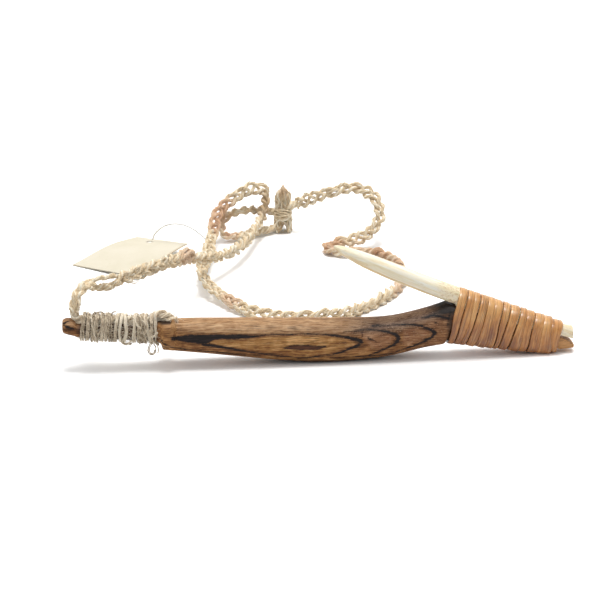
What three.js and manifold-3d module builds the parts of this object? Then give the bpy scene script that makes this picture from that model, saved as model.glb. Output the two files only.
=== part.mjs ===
// A composite fish hook: a carved wooden shank, a bone point bound to its foot with split cane,
// and a plaited fibre snood bound to its head. Millimetres, +Z up. The hook lies along X with its
// head at -X and stands in the plane Y = 0. The origin is below its middle, on the table.

import * as THREE from 'three';
import { mergeVertices } from 'three/addons/utils/BufferGeometryUtils.js';
import Module from 'manifold-3d';

const wasm = await Module();
wasm.setup();

// Clearance between pieces that touch
const SEAT_GAP = 0.3;

// The shank's lengths, from the head to the lashed joint
const HEAD_LENGTH = 4.4;
const NECK_LENGTH = 29.6;
const BODY_LENGTH = 102.0;

// The shank's sections: width across Y, height, and rise of the underside above the table
const WOOD_ROUNDNESS = 2.6;
const HEAD_WIDTH = 6.2;
const HEAD_HEIGHT = 6.1;
const HEAD_RISE = 12.2;
const HEAD_ROUNDING = 2.2;
const HEAD_END_SHARE = 0.6;
const NECK_WIDTH = 6.0;
const NECK_START_HEIGHT = 5.3;
const NECK_START_RISE = 11.9;
const NECK_END_HEIGHT = 6.2;
const NECK_END_RISE = 9.3;
const SHOULDER_RAMP = 0.9;
const TOP_NOTCH_LENGTH = 4.0;
const SHOULDER_WIDTH = 9.2;
const SHOULDER_HEIGHT = 10.7;
const SHOULDER_RISE = 6.4;
const FLANK_FROM_SHOULDER = 15;
const FLANK_WIDTH = 10.8;
const FLANK_HEIGHT = 12.4;
const FLANK_RISE = 4.4;
const BELLY_FROM_SHOULDER = 54;
const BELLY_WIDTH = 12.0;
const BELLY_HEIGHT = 15.4;
const BELLY_FLAT_DEPTH = 0.35;
const WAIST_FROM_SHOULDER = 78;
const WAIST_WIDTH = 11.2;
const WAIST_HEIGHT = 14.2;
const WAIST_RISE = 0.9;
const THROAT_FROM_SHOULDER = 91.5;
const THROAT_WIDTH = 10.0;
const THROAT_HEIGHT = 14.2;
const THROAT_RISE = 3.5;
const HEEL_WIDTH = 9.4;
const HEEL_HEIGHT = 16.2;
const HEEL_RISE = 5.0;

// The joint: the wooden foot and the butt of the bone side by side, a bundle that tapers down
// to the toe of the lashing and then to the end of the stub
const JOINT_ROUNDNESS = 3;
const JOINT_TOP_NARROWING = 0.14;
const JOINT_LENGTH = 39.5;
const JOINT_SLOPE = THREE.MathUtils.degToRad(14.9);
const JOINT_RISE = 15.2;
const JOINT_HEEL_HEIGHT = 18.8;
const JOINT_HEEL_WIDTH = 7.8;
const JOINT_REST_FROM_TOE = 5.0;
const JOINT_REST_HEIGHT = 11.2;
const JOINT_REST_WIDTH = 6.6;
const JOINT_TOE_HEIGHT = 8.5;
const JOINT_TOE_WIDTH = 5.8;
const JOINT_TOE_LIFT = 0.45;
const STUB_LENGTH = 5.9;
const STUB_HEIGHT = 7.0;
const STUB_WIDTH = 5.0;
const STUB_LIFT = 1.8;
const FOOT_TIP_REACH = 0.7;
const FOOT_TIP_SLOPE = THREE.MathUtils.degToRad(27);

// The scarf between wood and bone, as heights above the joint's axis
const SCARF_HEEL = 4.0;
const SCARF_TOE = 1.2;

// The bone point, from the joint to its tip
const POINT_SPAN = 44.3;
const POINT_RISE = 20.1;
const POINT_BOW = 0.6;
const POINT_ABOVE_AXIS = 7.3;
const POINT_ROUNDNESS = 2.5;
const POINT_HEIGHT = 5.9;
const POINT_WIDTH = 6.4;
const POINT_TAPER_LENGTH = 26;
const POINT_BLUNTNESS = 6.8;
const POINT_TIP_CUT = 0.4;

// The cane strip wound round the joint
const CANE_WIDTH = 2.35;
const CANE_THICKNESS = 0.75;
const CANE_PITCH = 2.88;
const CANE_FROM_HEEL = 1.1;
const CANE_FROM_TOE = 1.5;

// The yarn wound round the neck and the snood's bound end
const YARN_WIDTH = 1.55;
const YARN_THICKNESS = 1.1;
const YARN_PITCH = 2.1;
const YARN_FROM_HEAD = 2.7;
const YARN_FROM_SHOULDER = 1.6;
const YARN_ROUNDNESS = 2.4;

// The snood's bound end: flat under the yarn, turned up at the head and left as a stub at the body
const BOUND_WIDTH = 3.2;
const BOUND_THICKNESS = 1.8;
const EXIT_WIDTH = 3.4;
const EXIT_BACK = 3.0;
const EXIT_RISE = 2.1;
const EXIT_STRAIGHT = 0.6;
const TUFT_WIDTH = 3.2;
const TUFT_THICKNESS = 2.5;
const TUFT_RISE = 2.9;
const TUFT_LENGTH = 6.4;
const TUFT_SIDE = 1.2;
const TUFT_CURL = THREE.MathUtils.degToRad(130);

// The free snood and the loop of its tail
const SNOOD_DIAMETER = 4.2;
const TAIL_DIAMETER = 3.6;

// The knot that ends the snood, upright on the table
const KNOT_X = -2.8;
const KNOT_Y = 132.3;
const KNOT_HEIGHT = 20.5;
const KNOT_RADIUS = 4.3;
const KNOT_FOOT_RADIUS = 3.9;
const KNOT_WAIST_RADIUS = 3.6;
const KNOT_TIP_RADIUS = 0.9;

// The blank paper tag and its string
const TAG_THICKNESS = 0.45;
const TAG_BOW = 1.2;
const TAG_HOLE_RADIUS = 1.4;
const TAG_HOLE_INSET = 4.6;
const STRING_DIAMETER = 0.9;

// Faces: points round a section and in a turn of a winding, sides and steps of the rest
const SECTION_POINTS = 24;
const RING_SPACING = 3;
const CORD_SIDES = 8;
const SNOOD_STEPS = 78;
const TAIL_STEPS = 14;
const STRING_STEPS = 14;
const KNOT_SIDES = 16;
const KNOT_STEPS = 12;
const TAG_STEPS = 10;
const HOLE_SIDES = 12;

// The free snood from the head to the knot, laid by hand
const SNOOD_ROUTE = [
  [-85.9, 0.0, 21.6],
  [-85.6, 0.6, 24.8],
  [-84.0, 3.0, 27.8],
  [-80.5, 6.5, 28.6],
  [-74.5, 12.0, 27.0],
  [-66.6, 21.0, 25.9],
  [-55.0, 37.0, 23.9],
  [-45.5, 54.0, 19.0],
  [-33.5, 79.0, 9.9],
  [-25.5, 91.5, 8.0],
  [-19.6, 105.0, 7.2],
  [-15.6, 117.5, 7.2],
  [-12.0, 127.5, 9.2],
  [-10.2, 133.5, 13.0],
  [-10.4, 136.0, 17.0],
  [-14.5, 135.2, 18.9],
  [-23.5, 130.0, 16.6],
  [-30.5, 122.5, 12.6],
  [-33.4, 109.0, 8.6],
  [-36.0, 93.0, 6.9],
  [-39.2, 76.5, 5.6],
  [-37.0, 63.0, 4.6],
  [-30.0, 50.4, 3.2],
  [-19.3, 37.4, 2.3],
  [-3.8, 33.9, 2.2],
  [12.9, 36.6, 2.2],
  [28.0, 49.2, 2.2],
  [37.5, 65.0, 2.2],
  [39.5, 80.5, 2.5],
  [33.5, 95.0, 3.1],
  [24.5, 100.2, 2.5],
  [16.4, 101.6, 2.4],
  [12.6, 105.6, 2.5],
  [17.2, 109.6, 3.0],
  [28.0, 109.2, 5.4],
  [34.8, 113.6, 11.0],
  [34.2, 121.2, 17.4],
  [27.0, 127.4, 20.2],
  [15.0, 130.0, 17.4],
  [2.7, 132.0, 12.6],
];

// The short loop that the snood's tail makes at the knot, laid by hand
const TAIL_ROUTE = [
  [-7.4, 131.0, 2.2],
  [-12.5, 128.3, 2.2],
  [-18.0, 125.8, 2.2],
  [-24.0, 123.0, 2.2],
  [-28.3, 122.4, 3.4],
  [-29.0, 125.5, 6.5],
  [-26.0, 129.5, 9.2],
  [-21.0, 132.2, 10.0],
  [-16.0, 134.6, 9.5],
  [-11.5, 136.6, 8.4],
  [-6.7, 135.4, 8.0],
];

// The tag's corners and the string from its hole to the snood, laid by hand
const TAG_LEFT = [-89.8, 100.6, 0.4];
const TAG_FRONT = [-70.0, 86.0, 2.0];
const TAG_BACK = [-64.0, 130.0, 0.8];
const TAG_RIGHT = [-46.0, 114.0, 5.0];
const STRING_ROUTE = [
  [-57.6, 118.7, 3.4],
  [-56.6, 118.4, 6.0],
  [-52.6, 115.8, 10.2],
  [-47.0, 111.0, 12.6],
  [-41.6, 105.4, 12.4],
  [-36.5, 100.4, 9.7],
];

// Places and directions that follow from the sizes
const across = new THREE.Vector3(0, 1, 0);
const jointAxis = new THREE.Vector3(Math.cos(JOINT_SLOPE), 0, -Math.sin(JOINT_SLOPE));
const jointUp = new THREE.Vector3(Math.sin(JOINT_SLOPE), 0, Math.cos(JOINT_SLOPE));
const bundleLength = JOINT_LENGTH + STUB_LENGTH;
const hookLength = HEAD_LENGTH + NECK_LENGTH + BODY_LENGTH + bundleLength * jointAxis.x;
const headX = -hookLength / 2;
const neckX = headX + HEAD_LENGTH;
const shoulderX = neckX + NECK_LENGTH;
const notchEndX = shoulderX + TOP_NOTCH_LENGTH;
const jointX = shoulderX + BODY_LENGTH;
const toeX = jointX + bundleLength * jointAxis.x;
const jointStart = new THREE.Vector3(jointX, 0, JOINT_RISE);

// A value on the smooth curve through the stations, which are ordered by their place, at
function valueAt(stations, at, key) {
  const last = stations.length - 1;
  let i = 0;
  while (i < last - 1 && at > stations[i + 1].at) {
    i += 1;
  }
  const [a, b] = [stations[i], stations[i + 1]];
  const before = stations[Math.max(i - 1, 0)];
  const after = stations[Math.min(i + 2, last)];
  const span = b.at - a.at;
  const t = THREE.MathUtils.clamp((at - a.at) / span, 0, 1);
  const leaving = (b[key] - before[key]) / (b.at - before.at);
  const arriving = (after[key] - a[key]) / (after.at - a.at);
  return (2 * t ** 3 - 3 * t ** 2 + 1) * a[key]
    + (t ** 3 - 2 * t ** 2 + t) * span * leaving
    + (3 * t ** 2 - 2 * t ** 3) * b[key]
    + (t ** 3 - t ** 2) * span * arriving;
}

// Outline of a rounded section, evenly spaced points from the +Y side up and round
function roundedOutline(halfWidth, halfHeight, roundness) {
  const fine = 30 * SECTION_POINTS;
  const dense = [];
  const run = [0];
  for (let i = 0; i <= fine; i++) {
    const angle = (2 * Math.PI * i) / fine;
    const side = Math.abs(Math.cos(angle) / halfWidth) ** roundness;
    const top = Math.abs(Math.sin(angle) / halfHeight) ** roundness;
    const reach = (side + top) ** (-1 / roundness);
    dense.push(new THREE.Vector2(Math.cos(angle), Math.sin(angle)).multiplyScalar(reach));
    if (i > 0) {
      run.push(run[i - 1] + dense[i].distanceTo(dense[i - 1]));
    }
  }
  const outline = [];
  let j = 0;
  for (let k = 0; k < SECTION_POINTS; k++) {
    const target = (k / SECTION_POINTS) * run[fine];
    while (run[j + 1] < target) {
      j += 1;
    }
    outline.push(dense[j].clone().lerp(dense[j + 1], (target - run[j]) / (run[j + 1] - run[j])));
  }
  return outline;
}

// An oval of corners with a flat at each side, width along X and height along Y
function facetedOval(width, height) {
  return Array.from({ length: CORD_SIDES }, (_, k) => {
    const angle = ((k + 0.5) / CORD_SIDES) * 2 * Math.PI;
    return new THREE.Vector2((Math.cos(angle) * width) / 2, (Math.sin(angle) * height) / 2);
  });
}

function signedVolume(points, faces) {
  let volume = 0;
  for (let i = 0; i < faces.length; i += 3) {
    const [a, b, c] = [points[faces[i]], points[faces[i + 1]], points[faces[i + 2]]];
    volume += a.dot(b.clone().cross(c)) / 6;
  }
  return volume;
}

// A closed body through rings that have as many points each, its ends closed by flat fans
function loft(rings) {
  const sides = rings[0].length;
  const end = (rings.length - 1) * sides;
  const points = rings.flat();
  for (const ring of [rings[0], rings.at(-1)]) {
    const middle = new THREE.Vector3();
    ring.forEach((point) => middle.addScaledVector(point, 1 / sides));
    points.push(middle);
  }
  const faces = [];
  for (let k = 0; k < sides; k++) {
    const next = (k + 1) % sides;
    faces.push(end + sides, next, k);
    faces.push(end + sides + 1, end + k, end + next);
    for (let row = 0; row < end; row += sides) {
      faces.push(row + k, row + next, row + sides + next);
      faces.push(row + k, row + sides + next, row + sides + k);
    }
  }
  if (signedVolume(points, faces) < 0) {
    faces.reverse();
  }
  const geometry = new THREE.BufferGeometry().setFromPoints(points);
  geometry.setIndex(faces);
  return geometry;
}

// Joins and cuts
function solidOf(geometry) {
  const bare = geometry.clone();
  bare.deleteAttribute('normal');
  bare.deleteAttribute('uv');
  const merged = mergeVertices(bare);
  const mesh = new wasm.Mesh({
    numProp: 3,
    vertProperties: new Float32Array(merged.attributes.position.array),
    triVerts: new Uint32Array(merged.index.array),
  });
  return new wasm.Manifold(mesh);
}

function geometryOf(solid) {
  const mesh = solid.getMesh();
  const geometry = new THREE.BufferGeometry();
  geometry.setAttribute('position', new THREE.BufferAttribute(mesh.vertProperties, 3));
  geometry.setIndex(new THREE.BufferAttribute(mesh.triVerts, 1));
  return geometry;
}

// A block that fills the space on the side of a plane that the normal points to
function blockBeyond(point, normal) {
  const size = 4 * hookLength;
  const block = new THREE.BoxGeometry(size, size, size);
  block.translate(0, 0, size / 2);
  block.applyQuaternion(new THREE.Quaternion().setFromUnitVectors(new THREE.Vector3(0, 0, 1), normal));
  block.translate(point.x, point.y, point.z);
  return solidOf(block);
}

function stepsBetween(from, to, spacing) {
  const count = Math.max(1, Math.round((to - from) / spacing));
  return Array.from({ length: count }, (_, i) => from + ((to - from) * i) / count);
}

// The shank's stations: neck and body as seen from the side, each with its own smooth curve
const neckStations = [
  { at: neckX, top: NECK_START_RISE + NECK_START_HEIGHT, bottom: NECK_START_RISE, width: NECK_WIDTH },
  { at: shoulderX, top: NECK_END_RISE + NECK_END_HEIGHT, bottom: NECK_END_RISE, width: NECK_WIDTH },
];
const bodyStations = [
  [0, SHOULDER_WIDTH, SHOULDER_HEIGHT, SHOULDER_RISE],
  [FLANK_FROM_SHOULDER, FLANK_WIDTH, FLANK_HEIGHT, FLANK_RISE],
  [BELLY_FROM_SHOULDER, BELLY_WIDTH, BELLY_HEIGHT + BELLY_FLAT_DEPTH, -BELLY_FLAT_DEPTH],
  [WAIST_FROM_SHOULDER, WAIST_WIDTH, WAIST_HEIGHT, WAIST_RISE],
  [THROAT_FROM_SHOULDER, THROAT_WIDTH, THROAT_HEIGHT, THROAT_RISE],
  [BODY_LENGTH, HEEL_WIDTH, HEEL_HEIGHT, HEEL_RISE],
].map(([from, width, height, rise]) => ({ at: shoulderX + from, width, top: rise + height, bottom: rise }));

// Top, underside and width of the head at a place along X: full behind its rounded end
function headAt(x) {
  const inset = THREE.MathUtils.clamp(1 - (x - headX) / HEAD_ROUNDING, 0, 1);
  const share = THREE.MathUtils.lerp(HEAD_END_SHARE, 1, Math.sqrt(1 - inset ** 2));
  const middle = HEAD_RISE + HEAD_HEIGHT / 2;
  return {
    width: share * HEAD_WIDTH,
    top: middle + (share * HEAD_HEIGHT) / 2,
    bottom: middle - (share * HEAD_HEIGHT) / 2,
  };
}

// The same for the neck and body, which a short ramp joins at the shoulder and, above, at the notch
function shankAt(x) {
  if (x < neckX) {
    return headAt(x);
  }
  const ramp = (end, key) => THREE.MathUtils.lerp(
    valueAt(neckStations, x, key),
    valueAt(bodyStations, x, key),
    THREE.MathUtils.smoothstep(x, end - SHOULDER_RAMP, end),
  );
  return { width: ramp(shoulderX, 'width'), top: ramp(notchEndX, 'top'), bottom: ramp(shoulderX, 'bottom') };
}

// A section of the shank, flat where it would go below the table
function shankRing(x) {
  const { width, top, bottom } = shankAt(x);
  const outline = roundedOutline(width / 2, (top - bottom) / 2, WOOD_ROUNDNESS);
  return outline.map((p) => new THREE.Vector3(x, p.x, Math.max(0, (top + bottom) / 2 + p.y)));
}

// The joint bundle at a distance along its axis: height, width and lift of its middle
const jointStations = [
  { at: 0, height: JOINT_HEEL_HEIGHT, width: JOINT_HEEL_WIDTH, lift: 0 },
  { at: JOINT_LENGTH - JOINT_REST_FROM_TOE, height: JOINT_REST_HEIGHT, width: JOINT_REST_WIDTH, lift: 0 },
  { at: JOINT_LENGTH, height: JOINT_TOE_HEIGHT, width: JOINT_TOE_WIDTH, lift: JOINT_TOE_LIFT },
  { at: bundleLength, height: STUB_HEIGHT, width: STUB_WIDTH, lift: STUB_LIFT },
];

// Outline of the bundle, made larger all round by proud, narrower over the bone than over the wood
function jointOutline(along, proud) {
  const middle = jointStart.clone().addScaledVector(jointAxis, along);
  middle.addScaledVector(jointUp, valueAt(jointStations, along, 'lift'));
  const halfHeight = valueAt(jointStations, along, 'height') / 2 + proud;
  const halfWidth = valueAt(jointStations, along, 'width') / 2 + proud;
  return roundedOutline(halfWidth, halfHeight, JOINT_ROUNDNESS).map((p) => {
    const narrowing = 1 - (JOINT_TOP_NARROWING * p.y) / halfHeight;
    return middle.clone().addScaledVector(across, p.x * narrowing).addScaledVector(jointUp, p.y);
  });
}

// The bundle is one body, shared out between wood and bone along the slanted scarf. It begins
// just inside the heel, which ends square to the joint's axis.
const bundle = solidOf(loft([
  -2 * SEAT_GAP,
  ...stepsBetween(0, bundleLength, RING_SPACING),
  bundleLength,
  bundleLength + STUB_HEIGHT / 2,
].map((along) => jointOutline(along, 0))));
const pastHeel = blockBeyond(jointStart.clone().addScaledVector(jointAxis, -SEAT_GAP), jointAxis);

const scarfHeel = jointStart.clone().addScaledVector(jointUp, SCARF_HEEL);
const scarfToe = jointStart.clone().addScaledVector(jointAxis, JOINT_LENGTH).addScaledVector(jointUp, SCARF_TOE);
const scarfNormal = across.clone().cross(scarfHeel.clone().sub(scarfToe)).normalize();
const scarfBoneSide = scarfHeel.clone().addScaledVector(scarfNormal, SEAT_GAP / 2);
const scarfWoodSide = scarfHeel.clone().addScaledVector(scarfNormal, -SEAT_GAP / 2);

function makeShank() {
  const places = [
    ...[0, 0.1, 0.3, 0.6, 1].map((share) => headX + share * HEAD_ROUNDING),
    neckX - SEAT_GAP,
    ...stepsBetween(neckX, shoulderX - SHOULDER_RAMP, 2 * RING_SPACING),
    ...stepsBetween(shoulderX - SHOULDER_RAMP, shoulderX, SHOULDER_RAMP / 3),
    ...stepsBetween(shoulderX, notchEndX - SHOULDER_RAMP, RING_SPACING),
    ...stepsBetween(notchEndX - SHOULDER_RAMP, notchEndX, SHOULDER_RAMP / 3),
    ...stepsBetween(notchEndX, jointX, RING_SPACING),
    jointX,
    jointX + RING_SPACING,
  ];
  const body = solidOf(loft(places.map(shankRing))).subtract(pastHeel);
  const tipStart = scarfToe.clone().addScaledVector(scarfNormal, -SEAT_GAP / 2);
  const tipNormal = new THREE.Vector3(Math.sin(FOOT_TIP_SLOPE), 0, Math.cos(FOOT_TIP_SLOPE));
  const foot = bundle
    .subtract(blockBeyond(new THREE.Vector3(toeX, 0, 0), new THREE.Vector3(1, 0, 0)))
    .subtract(blockBeyond(tipStart, tipNormal));
  return geometryOf(body.add(foot).subtract(blockBeyond(scarfWoodSide, scarfNormal)));
}

// The bone point: rings square to its bowed middle line, and the butt beyond the heel
function makePoint() {
  const base = jointStart.clone().addScaledVector(jointUp, POINT_ABOVE_AXIS);
  const tip = new THREE.Vector3(base.x - POINT_SPAN, 0, base.z + POINT_RISE);
  const inward = base.clone().sub(tip).cross(across).normalize();
  const bend = base.clone().lerp(tip, 0.5).addScaledVector(inward, -2 * POINT_BOW);
  const line = new THREE.QuadraticBezierCurve3(tip, bend, base);
  const length = line.getLength();
  const shareAt = (run) => 1 - Math.exp(-Math.min(run, POINT_TAPER_LENGTH) / POINT_BLUNTNESS);
  const ringAt = (run) => {
    const middle = line.getPointAt(Math.min(run / length, 1));
    const along = line.getTangentAt(Math.min(run / length, 1));
    middle.addScaledVector(along, Math.max(0, run - length));
    const up = along.clone().cross(across).normalize();
    const share = shareAt(run) / shareAt(POINT_TAPER_LENGTH);
    const outline = roundedOutline((share * POINT_WIDTH) / 2, (share * POINT_HEIGHT) / 2, POINT_ROUNDNESS);
    return outline.map((p) => middle.clone().addScaledVector(across, p.x).addScaledVector(up, p.y));
  };
  const runs = [
    ...stepsBetween(POINT_TIP_CUT, POINT_BLUNTNESS, RING_SPACING / 3),
    ...stepsBetween(POINT_BLUNTNESS, length, RING_SPACING),
    length,
    length + RING_SPACING,
  ];
  const blade = solidOf(loft(runs.map(ringAt))).subtract(pastHeel);
  const end = new THREE.Vector3(toeX - FOOT_TIP_REACH, 0, 0);
  const butt = bundle.subtract(blockBeyond(end, new THREE.Vector3(1, 0, 0)));
  return geometryOf(blade.add(butt).intersect(blockBeyond(scarfBoneSide, scarfNormal)));
}

// A winding: one unbroken flat strand, six-sided, along turns of the outlines that outlineAt gives.
// It runs down the back and up the front, and starts at a share of the outline from the back.
function wind({ name, turns, start, width, thickness, outlineAt }) {
  const quarter = SECTION_POINTS / 4;
  const path = [];
  const outward = [];
  for (let i = 0; i <= turns * SECTION_POINTS; i++) {
    const outline = outlineAt(i / SECTION_POINTS);
    const k = (start * SECTION_POINTS + (turns + 1) * SECTION_POINTS * 4 - i) % SECTION_POINTS;
    const before = outline[(k + SECTION_POINTS - 1) % SECTION_POINTS];
    const after = outline[(k + 1) % SECTION_POINTS];
    const depth = outline[0].clone().sub(outline[2 * quarter]);
    const plane = depth.cross(outline[quarter].clone().sub(outline[3 * quarter]));
    path.push(outline[k]);
    outward.push(after.clone().sub(before).cross(plane).normalize());
  }
  const straight = (end, next) => end.clone().add(end.clone().sub(next).setLength(width));
  path.unshift(straight(path[0], path[1]));
  outward.unshift(outward[0]);
  path.push(straight(path.at(-1), path.at(-2)));
  outward.push(outward.at(-1));
  const chamfer = 0.72;
  const section = [[1, 0], [chamfer, 1], [-chamfer, 1], [-1, 0], [-chamfer, -1], [chamfer, -1]];
  const rings = path.map((point, i) => {
    const ahead = path[Math.min(i + 1, path.length - 1)];
    const behind = path[Math.max(i - 1, 0)];
    const side = ahead.clone().sub(behind).cross(outward[i]).normalize();
    return section.map(([wide, thick]) => {
      const corner = point.clone().addScaledVector(side, (wide * width) / 2);
      corner.addScaledVector(outward[i], (thick * thickness) / 2);
      return corner.setZ(Math.max(0, corner.z));
    });
  });
  let least = Infinity;
  rings.forEach((ring, i) => {
    for (const other of rings.slice(i + SECTION_POINTS / 2)) {
      for (const a of ring) {
        for (const b of other) {
          least = Math.min(least, a.distanceTo(b));
        }
      }
    }
  });
  console.log(`${name}: least gap to itself ${least.toFixed(2)} mm`);
  return loft(rings);
}

// The cane starts under the foot, so its first strip already shows whole at the front
function makePointLashing() {
  const room = JOINT_LENGTH - CANE_FROM_HEEL - CANE_FROM_TOE;
  return wind({
    name: 'point_lashing',
    turns: Math.floor((4 * room) / CANE_PITCH) / 4,
    start: 3 / 4,
    width: CANE_WIDTH,
    thickness: CANE_THICKNESS,
    outlineAt: (turn) => jointOutline(CANE_FROM_HEEL + turn * CANE_PITCH, SEAT_GAP + CANE_THICKNESS / 2),
  });
}

// Middle of the flattened cord that lies along the top of the neck
function boundMiddle(x) {
  return new THREE.Vector3(x, 0, shankAt(x).top + SEAT_GAP + BOUND_THICKNESS / 2);
}

const yarnTurns = Math.floor((NECK_LENGTH - YARN_FROM_HEAD - YARN_FROM_SHOULDER) / YARN_PITCH);
const yarnStartX = neckX + YARN_FROM_HEAD;
const yarnEndX = yarnStartX + yarnTurns * YARN_PITCH;

function makeHeadLashing() {
  const proud = SEAT_GAP + YARN_THICKNESS / 2;
  return wind({
    name: 'head_lashing',
    turns: yarnTurns,
    start: 0,
    width: YARN_WIDTH,
    thickness: YARN_THICKNESS,
    outlineAt: (turn) => {
      const x = yarnStartX + turn * YARN_PITCH;
      const top = valueAt(neckStations, x, 'top') + SEAT_GAP + BOUND_THICKNESS + proud;
      const bottom = valueAt(neckStations, x, 'bottom') - proud;
      const outline = roundedOutline(NECK_WIDTH / 2 + proud, (top - bottom) / 2, YARN_ROUNDNESS);
      return outline.map((p) => new THREE.Vector3(x, p.x, (top + bottom) / 2 + p.y));
    },
  });
}

// The bound end of the snood: down through a quarter turn, flat under the yarn, up into the tuft
function makeBoundEnd() {
  const sections = [];
  const add = (middle, width, height) => sections.push({ middle, width, height });
  const from = boundMiddle(yarnStartX);
  const top = new THREE.Vector3(from.x - EXIT_BACK, 0, from.z + EXIT_RISE);
  add(top.clone().setZ(top.z + EXIT_STRAIGHT), EXIT_WIDTH, EXIT_WIDTH);
  for (const t of stepsBetween(0, 1, 0.2)) {
    const turn = (t * Math.PI) / 2;
    const middle = new THREE.Vector3(
      from.x - EXIT_BACK * Math.cos(turn),
      0,
      top.z - EXIT_RISE * Math.sin(turn),
    );
    const flattened = Math.sqrt(t);
    add(
      middle,
      THREE.MathUtils.lerp(EXIT_WIDTH, BOUND_WIDTH, flattened),
      THREE.MathUtils.lerp(EXIT_WIDTH, BOUND_THICKNESS, flattened),
    );
  }
  for (const x of stepsBetween(yarnStartX, yarnEndX, RING_SPACING)) {
    add(boundMiddle(x), BOUND_WIDTH, BOUND_THICKNESS);
  }
  const to = boundMiddle(yarnEndX);
  add(to, BOUND_WIDTH, BOUND_THICKNESS);
  for (const t of [0.2, 0.4, 0.6, 0.8, 1]) {
    const middle = new THREE.Vector3(
      to.x + t * TUFT_LENGTH,
      -(t ** 2) * TUFT_SIDE,
      to.z + TUFT_RISE * Math.sin(t * TUFT_CURL),
    );
    add(middle, TUFT_WIDTH, TUFT_THICKNESS);
  }
  return loft(sections.map(({ middle, width, height }, i) => {
    const ahead = sections[Math.min(i + 1, sections.length - 1)].middle;
    const behind = sections[Math.max(i - 1, 0)].middle;
    const up = ahead.clone().sub(behind).cross(across).normalize();
    return facetedOval(width, height)
      .map((p) => middle.clone().addScaledVector(across, p.x).addScaledVector(up, p.y));
  }));
}

// A free cord: a tube of the cord's diameter along its route
function makeCord(route, diameter, steps) {
  const points = route.map((point) => new THREE.Vector3(...point));
  const line = new THREE.CatmullRomCurve3(points, false, 'centripetal');
  const section = new THREE.Shape(facetedOval(diameter, diameter));
  return new THREE.ExtrudeGeometry(section, { steps, extrudePath: line, bevelEnabled: false });
}

// The knot: two swells with a waist low down, closed above to a point
function makeKnot() {
  const stations = [
    [0, KNOT_FOOT_RADIUS],
    [0.14, KNOT_RADIUS],
    [0.3, KNOT_WAIST_RADIUS],
    [0.55, KNOT_RADIUS],
    [0.78, KNOT_RADIUS],
    [1, KNOT_TIP_RADIUS],
  ].map(([share, radius]) => ({ at: share * KNOT_HEIGHT, radius }));
  const rings = [];
  for (let i = 0; i <= KNOT_STEPS; i++) {
    const z = (i / KNOT_STEPS) * KNOT_HEIGHT;
    const radius = valueAt(stations, z, 'radius');
    rings.push(Array.from({ length: KNOT_SIDES }, (_, k) => {
      const angle = (k / KNOT_SIDES) * 2 * Math.PI;
      return new THREE.Vector3(KNOT_X + radius * Math.cos(angle), KNOT_Y + radius * Math.sin(angle), z);
    }));
  }
  return loft(rings);
}

// The tag: a thin sheet, straight across and bowed along its length, with a hole for the string
function makeTag() {
  const [left, front, back, right] = [TAG_LEFT, TAG_FRONT, TAG_BACK, TAG_RIGHT]
    .map((corner) => new THREE.Vector3(...corner));
  const edges = (share) => {
    const bow = TAG_BOW * Math.sin(Math.PI * share);
    return [left.clone().lerp(back, share), front.clone().lerp(right, share)]
      .map((point) => point.setZ(point.z + bow));
  };
  const half = new THREE.Vector3(0, 0, TAG_THICKNESS / 2);
  const rings = [];
  for (let i = 0; i <= TAG_STEPS; i++) {
    const [a, b] = edges(i / TAG_STEPS);
    rings.push([a.clone().sub(half), b.clone().sub(half), b.clone().add(half), a.clone().add(half)]);
  }
  const [a, b] = edges(1 - TAG_HOLE_INSET / left.distanceTo(back));
  const middle = a.lerp(b, 0.5);
  const depth = 8 * (TAG_BOW + TAG_THICKNESS);
  const punch = new THREE.CylinderGeometry(TAG_HOLE_RADIUS, TAG_HOLE_RADIUS, depth, HOLE_SIDES);
  punch.rotateX(Math.PI / 2);
  punch.translate(middle.x, middle.y, middle.z);
  return geometryOf(solidOf(loft(rings)).subtract(solidOf(punch)));
}

// Finishes
function finish(color, roughness) {
  return new THREE.MeshStandardMaterial({ color, roughness, metalness: 0 });
}
const wood = finish(0x6b4526, 0.55);
const bone = finish(0xe9dcb8, 0.45);
const cane = finish(0xb97a43, 0.35);
const yarn = finish(0xa39883, 0.9);
const fibre = finish(0xd2bf9d, 0.9);
const knotFibre = finish(0x9c8a6c, 0.95);
const paper = finish(0xefe8cf, 0.8);
const thread = finish(0xe9e6df, 0.85);

const fishHook = new THREE.Group();

function place(name, geometry, material) {
  const mesh = new THREE.Mesh(geometry, material);
  mesh.name = name;
  fishHook.add(mesh);
}

place('shank', makeShank(), wood);
place('bone_point', makePoint(), bone);
place('point_lashing', makePointLashing(), cane);
place('head_lashing', makeHeadLashing(), yarn);
place('snood_bound_end', makeBoundEnd(), fibre);
place('snood', makeCord(SNOOD_ROUTE, SNOOD_DIAMETER, SNOOD_STEPS), fibre);
place('snood_tail_loop', makeCord(TAIL_ROUTE, TAIL_DIAMETER, TAIL_STEPS), fibre);
place('snood_knot', makeKnot(), knotFibre);
place('paper_tag', makeTag(), paper);
place('tag_string', makeCord(STRING_ROUTE, STRING_DIAMETER, STRING_STEPS), thread);

export default fishHook;
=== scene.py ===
import math

import bpy
import numpy as np
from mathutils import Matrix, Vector, noise


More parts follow.
